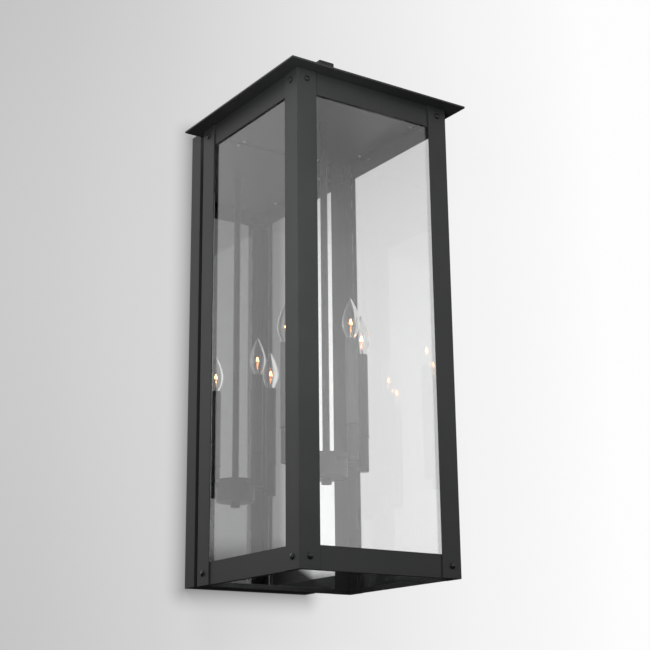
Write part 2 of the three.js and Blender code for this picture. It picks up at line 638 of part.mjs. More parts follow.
const pipe = tube(PIPE_RADIUS, PIPE_RADIUS - PIPE_WALL, FINIAL_BORE_BOTTOM + FIT, CAP_BASE + CAP_BORE_DEPTH - FIT);
const stem = tube(STEM_RADIUS, STEM_BORE_RADIUS, HUB_TOP + FIT, STEM_TOP);
const collar = tube(COLLAR_RADIUS, COLLAR_BORE_RADIUS, STEM_TOP - COLLAR_HEIGHT, STEM_TOP);
place(cage, 'centre_pipe', pipe, zinc);
place(cage, 'stem', stem, blackCoat);
place(cage, 'stem_collar', collar, blackCoat);
place(cage, 'hub', hubGeometry(), blackCoat);
place(cage, 'hub_cover', hubCoverGeometry(), blackCoat);
place(cage, 'hub_finial', hubFinialGeometry(), blackCoat);

// Candles are named for the side they stand towards; the first stands towards +X.
['right', 'back', 'left', 'front'].forEach((side, i) => {
  place(cage, `arm_${side}`, armGeometry(), blackCoat, i * QUARTER);
  const spoke = new THREE.Group();
  spoke.rotation.z = i * QUARTER;
  cage.add(spoke);
  const candle = new THREE.Group();
  candle.position.x = CANDLE_REACH;
  spoke.add(candle);
  place(candle, `candle_cup_${side}`, cupGeometry(), blackCoat);
  place(candle, `candle_sleeve_${side}`, sleeveGeometry(), blackCoat);
  place(candle, `socket_${side}`, socketGeometry(), socketPlastic);
  place(candle, `bulb_${side}`, bulbGeometry(), bulbGlass);
});

place(lantern, 'wall_bracket', bracketGeometry(), zinc);
place(lantern, 'back_plate', backPlateGeometry(), blackCoat);
[['left', -1], ['right', 1]].forEach(([side, sign]) => {
  place(lantern, `cap_nut_${side}`, capNutGeometry(), brass).position.x = (sign * STUD_SPACING) / 2;
});
place(cage, 'upper_standoff', standoffGeometry(), blackCoat).position.z = UPPER_STANDOFF_Z;
place(cage, 'lower_standoff', standoffGeometry(), blackCoat).position.z = LOWER_STANDOFF_Z;

export default lantern;
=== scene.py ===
"""Looks for an outdoor wall lantern: powder coated sheet metal, clear panes, a mirror back and candle lamps."""

import logging
import math
from dataclasses import dataclass, field
from enum import Enum
from typing import Iterable, Sequence

import bmesh
import bpy
from mathutils import Matrix, Vector

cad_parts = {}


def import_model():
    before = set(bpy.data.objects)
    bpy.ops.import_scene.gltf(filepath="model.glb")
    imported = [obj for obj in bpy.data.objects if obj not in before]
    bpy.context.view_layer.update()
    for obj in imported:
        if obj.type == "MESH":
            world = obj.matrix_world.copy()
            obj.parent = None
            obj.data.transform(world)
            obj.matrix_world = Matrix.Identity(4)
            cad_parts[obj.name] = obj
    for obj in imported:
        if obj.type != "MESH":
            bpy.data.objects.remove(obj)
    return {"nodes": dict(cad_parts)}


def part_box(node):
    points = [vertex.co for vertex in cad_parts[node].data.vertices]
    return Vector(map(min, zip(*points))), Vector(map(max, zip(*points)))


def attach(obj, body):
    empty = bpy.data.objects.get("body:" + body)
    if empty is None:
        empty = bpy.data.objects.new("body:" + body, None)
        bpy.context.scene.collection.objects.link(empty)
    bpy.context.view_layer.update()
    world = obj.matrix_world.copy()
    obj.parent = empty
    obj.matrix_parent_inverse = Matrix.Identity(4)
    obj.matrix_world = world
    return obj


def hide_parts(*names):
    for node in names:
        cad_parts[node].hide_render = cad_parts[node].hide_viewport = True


logging.basicConfig(level=logging.INFO, format="%(name)s: %(message)s")
LOG = logging.getLogger("lantern")

MM = 0.001
SIDES = ("front", "right", "back", "left")
CORNERS = ("front_left", "front_right", "back_right", "back_left")
ENDS = ("bottom", "top")
QUARTER = math.pi / 2
WIRE_ROUNDNESS = 2

Point = tuple[float, float, float]
Profile = Sequence[tuple[float, float]]


class Axis(Enum):
    """Direction that a turned piece's own axis lies along."""

    X = "x"
    Y = "y"
    Z = "z"


# Shader node groups


class NodeBuilder:
    """Adds and links nodes in one node tree."""

    def __init__(self, tree: bpy.types.NodeTree) -> None:
        """Keep the tree to build in.

        Args:
            tree: The tree of a material, a world or a node group.
        """
        self.tree = tree

    def add(self, kind: str, **settings: object) -> bpy.types.Node:
        """Add a node and set its properties and unlinked inputs.

        Args:
            kind: The node's type name.
            settings: Node properties by name, or inputs by name with spaces as underscores.

        Returns:
            The new node.
        """
        node = self.tree.nodes.new(kind)
        for key, value in settings.items():
            if hasattr(node, key):
                setattr(node, key, value)
            else:
                node.inputs[key.replace("_", " ")].default_value = value
        return node

    def link(self, source: bpy.types.NodeSocket, target: bpy.types.NodeSocket) -> None:
        """Join an output to an input."""
        self.tree.links.new(source, target)

    def math(self, operation: str, first: object, second: object = None) -> bpy.types.NodeSocket:
        """Add a Math node.

        Args:
            operation: The Math node's operation.
            first: A socket or a number.
            second: A socket, a number or nothing.

        Returns:
            The node's output.
        """
        node = self.tree.nodes.new("ShaderNodeMath")
        node.operation = operation
        for slot, value in enumerate((first, second)):
            if isinstance(value, bpy.types.NodeSocket):
                self.link(value, node.inputs[slot])
            elif value is not None:
                node.inputs[slot].default_value = value
        return node.outputs[0]

    def remap(self, value: bpy.types.NodeSocket, low: float, high: float,
              to: tuple[float, float]) -> bpy.types.NodeSocket:
        """Map a value from low..high to a new range, clamped.

        Args:
            value: Socket to read.
            low: Lower end of the old range.
            high: Upper end of the old range.
            to: Both ends of the new range.

        Returns:
            The socket with the new value.
        """
        node = self.add("ShaderNodeMapRange", clamp=True)
        self.link(value, node.inputs["Value"])
        for name, number in (("From Min", low), ("From Max", high), ("To Min", to[0]), ("To Max", to[1])):
            node.inputs[name].default_value = number
        return node.outputs["Result"]


def new_group(name: str, inputs: dict[str, float], outputs: Iterable[str]) -> tuple[bpy.types.NodeTree, NodeBuilder]:
    """Make an empty shader node group.

    Args:
        name: The group's name.
        inputs: Names of its number inputs, with their defaults.
        outputs: Names of its number outputs.

    Returns:
        The group and a builder for its tree.
    """
    group = bpy.data.node_groups.new(name, "ShaderNodeTree")
    for label, value in inputs.items():
        group.interface.new_socket(label, in_out="INPUT", socket_type="NodeSocketFloat").default_value = value
    for label in outputs:
        group.interface.new_socket(label, in_out="OUTPUT", socket_type="NodeSocketFloat")
    return group, NodeBuilder(group)


def coat_texture_group() -> bpy.types.NodeTree:
    """Fine orange-peel of a sprayed powder coat: a height, and slow changes of tone and gloss.

    Returns:
        The node group.
    """
    group, build = new_group("coat_texture", {"Grain": 900.0, "Drift": 9.0}, ("Height", "Tone", "Gloss"))
    entry = build.add("NodeGroupInput")
    leave = build.add("NodeGroupOutput")
    place = build.add("ShaderNodeTexCoord").outputs["Object"]
    grain = build.add("ShaderNodeTexNoise", Detail=3.0, Roughness=0.55)
    cells = build.add("ShaderNodeTexVoronoi", feature="SMOOTH_F1", Smoothness=0.7)
    drift = build.add("ShaderNodeTexNoise", Detail=4.0, Roughness=0.6)
    build.link(entry.outputs["Grain"], grain.inputs["Scale"])
    build.link(build.math("MULTIPLY", entry.outputs["Grain"], 0.8), cells.inputs["Scale"])
    build.link(entry.outputs["Drift"], drift.inputs["Scale"])
    for node in (grain, cells, drift):
        build.link(place, node.inputs["Vector"])
    bumps = build.math("MULTIPLY_ADD", cells.outputs["Distance"], 0.6)
    build.link(grain.outputs["Fac"], bumps.node.inputs[2])
    build.link(bumps, leave.inputs["Height"])
    build.link(build.remap(drift.outputs["Fac"], 0.3, 0.7, (0.0, 1.0)), leave.inputs["Tone"])
    build.link(build.remap(grain.outputs["Fac"], 0.3, 0.7, (0.0, 1.0)), leave.inputs["Gloss"])
    return group


def settled_dust_group() -> bpy.types.NodeTree:
    """Mask of the thin dust that settles on faces that look up.

    Returns:
        The node group.
    """
    group, build = new_group("settled_dust", {"Amount": 0.3, "Patch": 30.0}, ("Mask",))
    entry = build.add("NodeGroupInput")
    leave = build.add("NodeGroupOutput")
    place = build.add("ShaderNodeTexCoord").outputs["Object"]
    split = build.add("ShaderNodeSeparateXYZ")
    build.link(build.add("ShaderNodeNewGeometry").outputs["Normal"], split.inputs[0])
    patch = build.add("ShaderNodeTexNoise", Detail=5.0, Roughness=0.65)
    build.link(place, patch.inputs["Vector"])
    build.link(entry.outputs["Patch"], patch.inputs["Scale"])
    upward = build.remap(split.outputs["Z"], 0.35, 0.95, (0.0, 1.0))
    patches = build.remap(patch.outputs["Fac"], 0.35, 0.75, (0.35, 1.0))
    mask = build.math("MULTIPLY", build.math("MULTIPLY", upward, patches), entry.outputs["Amount"])
    build.link(mask, leave.inputs["Mask"])
    return group


def brushed_group() -> bpy.types.NodeTree:
    """Fine drawn lines and blotches of a plated or turned metal.

    Returns:
        The node group.
    """
    group, build = new_group("brushed_lines", {"Stretch": 60.0, "Scale": 400.0}, ("Lines", "Blotch"))
    entry = build.add("NodeGroupInput")
    leave = build.add("NodeGroupOutput")
    place = build.add("ShaderNodeTexCoord").outputs["Object"]
    stretched = build.add("ShaderNodeVectorMath", operation="MULTIPLY")
    combine = build.add("ShaderNodeCombineXYZ", X=1.0, Y=1.0)
    build.link(build.math("DIVIDE", 1.0, entry.outputs["Stretch"]), combine.inputs["Z"])
    build.link(place, stretched.inputs[0])
    build.link(combine.outputs[0], stretched.inputs[1])
    lines = build.add("ShaderNodeTexNoise", Detail=4.0, Roughness=0.6)
    blotch = build.add("ShaderNodeTexNoise", Scale=45.0, Detail=3.0)
    build.link(stretched.outputs[0], lines.inputs["Vector"])
    build.link(entry.outputs["Scale"], lines.inputs["Scale"])
    build.link(place, blotch.inputs["Vector"])
    build.link(lines.outputs["Fac"], leave.inputs["Lines"])
    build.link(build.remap(blotch.outputs["Fac"], 0.35, 0.65, (0.0, 1.0)), leave.inputs["Blotch"])
    return group


@dataclass
class SharedGroups:
    """Shader node groups used by more than one finish, each built once."""

    coat: bpy.types.NodeTree = field(default_factory=coat_texture_group)
    dust: bpy.types.NodeTree = field(default_factory=settled_dust_group)
    brushed: bpy.types.NodeTree = field(default_factory=brushed_group)


# Finishes


def start_material(name: str) -> tuple[bpy.types.Material, NodeBuilder, bpy.types.Node]:
    """Make a node material that holds only a Principled shader and its output.

    Args:
        name: The material's name.

    Returns:
        The material, a builder for its tree and its Principled shader.
    """
    material = bpy.data.materials.new(name)
    material.use_nodes = True
    build = NodeBuilder(material.node_tree)
    shader = next(n for n in material.node_tree.nodes if n.type == "BSDF_PRINCIPLED")
    return material, build, shader


def place_group(build: NodeBuilder, group: bpy.types.NodeTree, **values: float) -> bpy.types.Node:
    """Put a node group in a material with its own values.

    Args:
        build: Builder of the material's tree.
        group: Group to place.
        **values: Value of each input, by its name.

    Returns:
        The group's node.
    """
    node = build.add("ShaderNodeGroup", node_tree=group)
    for name, value in values.items():
        node.inputs[name].default_value = value
    return node


def mix_colours(build: NodeBuilder, mask: bpy.types.NodeSocket, low: object, high: object) -> bpy.types.NodeSocket:
    """Mix two colours, each a tuple or a socket, by a mask.

    Args:
        build: Builder of the tree.
        mask: Socket that runs from 0 to 1.
        low: Colour where the mask is 0.
        high: Colour where the mask is 1.

    Returns:
        The socket with the mixed colour.
    """
    mixer = build.add("ShaderNodeMix", data_type="RGBA")
    build.link(mask, mixer.inputs["Factor"])
    for socket, value in ((mixer.inputs[6], low), (mixer.inputs[7], high)):
        if isinstance(value, bpy.types.NodeSocket):
            build.link(value, socket)
        else:
            socket.default_value = (*value, 1.0)
    return mixer.outputs[2]


@dataclass(frozen=True)
class PowderCoat:
    """Satin powder coat with a fine orange-peel and a trace of dust on top."""

    name: str = "powder_coat"
    colour: Point = (0.022, 0.0245, 0.0235)
    light_colour: Point = (0.027, 0.0295, 0.028)
    dust_colour: Point = (0.30, 0.29, 0.27)
    roughness: tuple[float, float] = (0.40, 0.50)
    grain: float = 1100.0
    bump: float = 0.07
    dust: float = 0.08

    def make(self, groups: SharedGroups) -> bpy.types.Material:
        """Build the material.

        Args:
            groups: Effects that the finishes share.

        Returns:
            The material.
        """
        material, build, shader = start_material(self.name)
        coat = place_group(build, groups.coat, Grain=self.grain)
        dust = place_group(build, groups.dust, Amount=self.dust)
        tone = mix_colours(build, coat.outputs["Tone"], self.colour, self.light_colour)
        build.link(mix_colours(build, dust.outputs["Mask"], tone, self.dust_colour), shader.inputs["Base Color"])
        build.link(build.remap(coat.outputs["Gloss"], 0.0, 1.0, self.roughness), shader.inputs["Roughness"])
        bump = build.add("ShaderNodeBump", Strength=self.bump, Distance=0.0003)
        build.link(coat.outputs["Height"], bump.inputs["Height"])
        build.link(bump.outputs["Normal"], shader.inputs["Normal"])
        shader.inputs["Specular IOR Level"].default_value = 0.5
        return material


@dataclass(frozen=True)
class ClearGlass:
    """Polished clear glass that lets light from the lamps and the room through."""

    name: str
    tint: Point = (0.985, 0.995, 0.99)
    ior: float = 1.5
    smear: float = 0.0

    def make(self, groups: SharedGroups) -> bpy.types.Material:
        """Build the material.

        Args:
            groups: Effects that the finishes share.

        Returns:
            The material.
        """
        material, build, shader = start_material(self.name)
        shader.inputs["Metallic"].default_value = 0.0
        shader.inputs["Transmission Weight"].default_value = 1.0
        shader.inputs["IOR"].default_value = self.ior
        coat = place_group(build, groups.coat, Grain=60.0, Drift=14.0)
        smeared = tuple(c * (1.0 - self.smear) for c in self.tint)
        build.link(mix_colours(build, coat.outputs["Tone"], self.tint, smeared), shader.inputs["Base Color"])
        build.link(build.remap(coat.outputs["Tone"], 0.0, 1.0, (0.0, self.smear)), shader.inputs["Roughness"])
        clear = build.add("ShaderNodeBsdfTransparent", Color=(*self.tint, 1.0))
        mixer = build.add("ShaderNodeMixShader")
        build.link(build.add("ShaderNodeLightPath").outputs["Is Shadow Ray"], mixer.inputs["Fac"])
        build.link(shader.outputs[0], mixer.inputs[1])
        build.link(clear.outputs[0], mixer.inputs[2])
        output = next(n for n in material.node_tree.nodes if n.type == "OUTPUT_MATERIAL")
        build.link(mixer.outputs[0], output.inputs["Surface"])
        return material


@dataclass(frozen=True)
class Metal:
    """Bare, plated or silvered metal with fine lines."""

    name: str
    colour: Point
    dull_colour: Point
    roughness: tuple[float, float] = (0.22, 0.38)
    line_scale: float = 400.0
    bump: float = 0.05

    def make(self, groups: SharedGroups) -> bpy.types.Material:
        """Build the material.

        Args:
            groups: Effects that the finishes share.

        Returns:
            The material.
        """
        material, build, shader = start_material(self.name)
        shader.inputs["Metallic"].default_value = 1.0
        lines = place_group(build, groups.brushed, Scale=self.line_scale)
        colour = mix_colours(build, lines.outputs["Blotch"], self.colour, self.dull_colour)
        build.link(colour, shader.inputs["Base Color"])
        build.link(build.remap(lines.outputs["Lines"], 0.3, 0.7, self.roughness), shader.inputs["Roughness"])
        if self.bump:
            bump = build.add("ShaderNodeBump", Strength=self.bump, Distance=0.0003)
            build.link(lines.outputs["Lines"], bump.inputs["Height"])
            build.link(bump.outputs["Normal"], shader.inputs["Normal"])
        return material


@dataclass(frozen=True)
class Moulded:
    """Moulded plastic or wire insulation with a faint mottle."""

    name: str
    colour: Point
    roughness: tuple[float, float] = (0.38, 0.5)
    grain: float = 500.0
    bump: float = 0.06

    def make(self, groups: SharedGroups) -> bpy.types.Material:
        """Build the material.

        Args:
            groups: Effects that the finishes share.

        Returns:
            The material.
        """
        material, build, shader = start_material(self.name)
        coat = place_group(build, groups.coat, Grain=self.grain, Drift=40.0)
        darker = tuple(c * 0.8 for c in self.colour)
        build.link(mix_colours(build, coat.outputs["Tone"], self.colour, darker), shader.inputs["Base Color"])
        build.link(build.remap(coat.outputs["Gloss"], 0.0, 1.0, self.roughness), shader.inputs["Roughness"])
        bump = build.add("ShaderNodeBump", Strength=self.bump, Distance=0.0003)
        build.link(coat.outputs["Height"], bump.inputs["Height"])
        build.link(bump.outputs["Normal"], shader.inputs["Normal"])
        return material


@dataclass(frozen=True)
class GlowingWire:
    """Filament wire at working heat, hotter in places."""

    name: str = "filament_glow"
    cool: Point = (1.0, 0.28, 0.05)
    hot: Point = (1.0, 0.62, 0.26)
    strength: float = 20.0

    def make(self, groups: SharedGroups) -> bpy.types.Material:
        """Build the material.

        Args:
            groups: Effects that the finishes share.

        Returns:
            The material.
        """
        material, build, shader = start_material(self.name)
        coat = place_group(build, groups.coat, Grain=300.0, Drift=300.0)
        colour = mix_colours(build, coat.outputs["Tone"], self.cool, self.hot)
        build.link(colour, shader.inputs["Base Color"])
        build.link(colour, shader.inputs["Emission Color"])
        shader.inputs["Emission Strength"].default_value = self.strength
        return material


@dataclass
class Finishes:
    """Every finish of the lantern, made once."""

    groups: SharedGroups
    coat: bpy.types.Material = field(init=False)
    roof_coat: bpy.types.Material = field(init=False)
    sleeve: bpy.types.Material = field(init=False)
    rivet: bpy.types.Material = field(init=False)
    pane: bpy.types.Material = field(init=False)
    ground_edge: bpy.types.Material = field(init=False)
    lamp_glass: bpy.types.Material = field(init=False)
    silver: bpy.types.Material = field(init=False)
    zinc: bpy.types.Material = field(init=False)
    brass: bpy.types.Material = field(init=False)
    nickel: bpy.types.Material = field(init=False)
    phenolic: bpy.types.Material = field(init=False)
    filament: bpy.types.Material = field(init=False)

    def __post_init__(self) -> None:
        """Make the materials."""
        groups = self.groups
        self.coat = PowderCoat().make(groups)
        self.roof_coat = PowderCoat(name="powder_coat_roof", dust=0.2).make(groups)
        self.rivet = PowderCoat(name="rivet_coat", colour=(0.012, 0.014, 0.013), light_colour=(0.016, 0.018, 0.017),
                                roughness=(0.2, 0.26), bump=0.03, dust=0.0).make(groups)
        self.sleeve = PowderCoat(name="satin_sleeve", colour=(0.05, 0.055, 0.052), light_colour=(0.06, 0.065, 0.062),
                                 grain=1400.0, bump=0.04, dust=0.05).make(groups)
        self.pane = ClearGlass("pane_glass", tint=(0.93, 0.935, 0.933), ior=1.8, smear=0.008).make(groups)
        self.ground_edge = ClearGlass("ground_glass_edge", tint=(0.72, 0.76, 0.74), smear=0.5).make(groups)
        self.lamp_glass = ClearGlass("lamp_glass", tint=(1.0, 0.995, 0.985), ior=1.6).make(groups)
        self.silver = Metal("silvering", (0.78, 0.79, 0.79), (0.76, 0.77, 0.77), (0.0, 0.008), bump=0.0).make(groups)
        self.zinc = Metal("zinc_plate", (0.62, 0.63, 0.64), (0.5, 0.52, 0.54)).make(groups)
        self.brass = Metal("bright_brass", (0.78, 0.56, 0.26), (0.66, 0.46, 0.2)).make(groups)
        self.nickel = Metal("nickel_shell", (0.72, 0.69, 0.64), (0.62, 0.58, 0.52)).make(groups)
        self.phenolic = Moulded("black_phenolic", (0.035, 0.032, 0.03)).make(groups)
        self.filament = GlowingWire().make(groups)

    def insulation(self, name: str, colour: Point) -> bpy.types.Material:
        """Make the insulation of one wire."""
        return Moulded(name, colour, roughness=(0.3, 0.42)).make(self.groups)


# Mesh helpers


def finish_mesh(name: str, mesh: bmesh.types.BMesh, smooth_below: float = 0.0) -> bpy.types.Object:
    """Turn a bmesh into an object at the origin, with its faces out.

    Args:
        name: The piece's name.
        mesh: The bmesh, which is freed.
        smooth_below: Edges flatter than this many degrees are shaded smooth; 0 keeps every face flat.

    Returns:
        The new object.
    """
    bmesh.ops.recalc_face_normals(mesh, faces=mesh.faces)
    data = bpy.data.meshes.new(name)
    mesh.to_mesh(data)
    mesh.free()
    if smooth_below:
        data.shade_smooth()
        data.set_sharp_from_angle(angle=math.radians(smooth_below))
    piece = bpy.data.objects.new(name, data)
    bpy.context.scene.collection.objects.link(piece)
    return piece


def dress(piece: bpy.types.Object, material: bpy.types.Material) -> bpy.types.Object:
    """Give a piece one material.

    Args:
        piece: Object to dress.
        material: Its finish.

    Returns:
        The same piece.
    """
    piece.data.materials.clear()
    piece.data.materials.append(material)
    return piece


def settle(piece: bpy.types.Object, body: str, *nodes: str) -> bpy.types.Object:
    """Let a piece ride on a body in place of CAD nodes, and report it.

    Args:
        piece: The finished piece.
        body: The body that it moves with.
        nodes: The CAD nodes that it stands for.

    Returns:
        The piece.
    """
    if nodes:
        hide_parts(*nodes)
    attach(piece, body)
    LOG.info("%s on %s, %d faces", piece.name, body, len(piece.data.polygons))
    return piece


def formed_from(node: str, name: str, edge: float, segments: int = 2) -> bpy.types.Object:
    """Copy a CAD node's solid as a clean mesh and round its crisp edges.

    Args:
        node: The CAD node.
        name: The new piece's name.
        edge: Width of the rounding, in metres.
        segments: Number of faces across the rounding.

    Returns:
        The new piece.
    """
    flat = math.radians(1.0)
    crisp = math.radians(40.0)
    mesh = bmesh.new()
    mesh.from_mesh(CAD[node].data)
    bmesh.ops.remove_doubles(mesh, verts=mesh.verts, dist=2e-6)
    bmesh.ops.dissolve_limit(mesh, angle_limit=flat, verts=mesh.verts, edges=mesh.edges)
    corners = [e for e in mesh.edges if len(e.link_faces) == 2 and e.calc_face_angle(0.0) > crisp]
    bmesh.ops.bevel(mesh, geom=corners, offset=edge, segments=segments, profile=0.5, affect="EDGES",
                    clamp_overlap=True)
    return finish_mesh(name, mesh)


def turned(name: str, profile: Profile, segments: int = 48, smooth_below: float = 35.0) -> bpy.types.Object:
    """Turn a profile about Z.

    Args:
        name: The piece's name.
        profile: Radius and height of each point; the ends lie on the axis, or the last repeats the first.
        segments: Number of facets round the axis.
        smooth_below: Largest angle, in degrees, that is shaded smooth.

    Returns:
        The new piece, on the Z axis.
    """
    mesh = bmesh.new()
    closes = profile[0] == profile[-1] and profile[0][0] > 0
    points = profile[:-1] if closes else profile
    rings = []
    for radius, height in points:
        if radius < 1e-9:
            rings.append([mesh.verts.new((0.0, 0.0, height))])
            continue
        turns = (2 * math.pi * k / segments for k in range(segments))
        rings.append([mesh.verts.new((radius * math.cos(t), radius * math.sin(t), height)) for t in turns])
    pairs = list(zip(rings, rings[1:])) + ([(rings[-1], rings[0])] if closes else [])
    for lower, upper in pairs:
        for k in range(segments):
            after = (k + 1) % segments
            corners = [lower[k % len(lower)], lower[after % len(lower)], upper[after % len(upper)],
                       upper[k % len(upper)]]
            unique = list(dict.fromkeys(corners))
            if len(unique) > 2:
                mesh.faces.new(unique)
    return finish_mesh(name, mesh, smooth_below)


def move(piece: bpy.types.Object, place: Matrix) -> bpy.types.Object:
    """Apply a place to a piece's mesh, so that its object stays at the origin."""
    piece.data.transform(place)
    return piece


def turned_towards(axis: Axis) -> Matrix:
    """Matrix that turns +Z to the named axis.

    Args:
        axis: Axis to turn to.

    Returns:
        The turn.
    """
    target = {Axis.X: Vector((1, 0, 0)), Axis.Y: Vector((0, 1, 0)), Axis.Z: Vector((0, 0, 1))}[axis]
    return target.to_track_quat("Z", "Y").to_matrix().to_4x4()


def joined(name: str, pieces: Sequence[bpy.types.Object]) -> bpy.types.Object:
    """Join several meshes into one piece, with the materials of each kept.

    Args:
        name: The joined piece's name.
        pieces: The meshes, which are removed.

    Returns:
        The new piece.
    """
    mesh = bmesh.new()
    materials: list[bpy.types.Material] = []
    for piece in pieces:
        start = len(mesh.faces)
        mesh.from_mesh(piece.data)
        mesh.faces.ensure_lookup_table()
        for face in mesh.faces[start:]:
            own = piece.data.materials[face.material_index] if piece.data.materials else None
            if own is not None and own not in materials:
                materials.append(own)
            face.material_index = materials.index(own) if own is not None else 0
    data = bpy.data.meshes.new(name)
    mesh.to_mesh(data)
    mesh.free()
    for material in materials:
        data.materials.append(material)
    for piece in pieces:
        bpy.data.objects.remove(piece, do_unlink=True)
    result = bpy.data.objects.new(name, data)
    bpy.context.scene.collection.objects.link(result)
    return result


def wire(name: str, route: Sequence[Point], radius: float) -> bpy.types.Object:
    """Make a round wire along a smooth route.

    Args:
        name: The piece's name.
        route: Points that the wire passes through, in metres.
        radius: The wire's radius.

    Returns:
        The new piece, with closed ends.
    """
    curve = bpy.data.curves.new(name, "CURVE")
    curve.dimensions = "3D"
    curve.bevel_depth = radius
    curve.bevel_resolution = WIRE_ROUNDNESS
    curve.use_fill_caps = True
    curve.resolution_u = 6
    spline = curve.splines.new("BEZIER")
    spline.bezier_points.add(len(route) - 1)
    for knot, point in zip(spline.bezier_points, route):
        knot.co = point
        knot.handle_left_type = knot.handle_right_type = "AUTO"
    drawn = bpy.data.objects.new(name, curve)
    bpy.context.scene.collection.objects.link(drawn)
    return plain_mesh(drawn, name, smooth=True)


def plain_mesh(source: bpy.types.Object, name: str, smooth: bool = False) -> bpy.types.Object:
    """Replace an object by the plain mesh of its evaluated shape.

    Args:
        source: The object, which is removed.
        name: The plain piece's name.
        smooth: Whether its faces are shaded smooth.

    Returns:
        The plain piece.
    """
    graph = bpy.context.evaluated_depsgraph_get()
    data = bpy.data.meshes.new_from_object(source.evaluated_get(graph), depsgraph=graph)
    bpy.data.objects.remove(source, do_unlink=True)
    data.name = name
    if smooth:
        data.shade_smooth()
        data.set_sharp_from_angle(angle=math.radians(50))
    piece = bpy.data.objects.new(name, data)
    bpy.context.scene.collection.objects.link(piece)
    return piece


# Geometry Nodes


class Drive(Enum):
    """What a small round head has in its face."""

    PLAIN = 0
    CROSS = 1


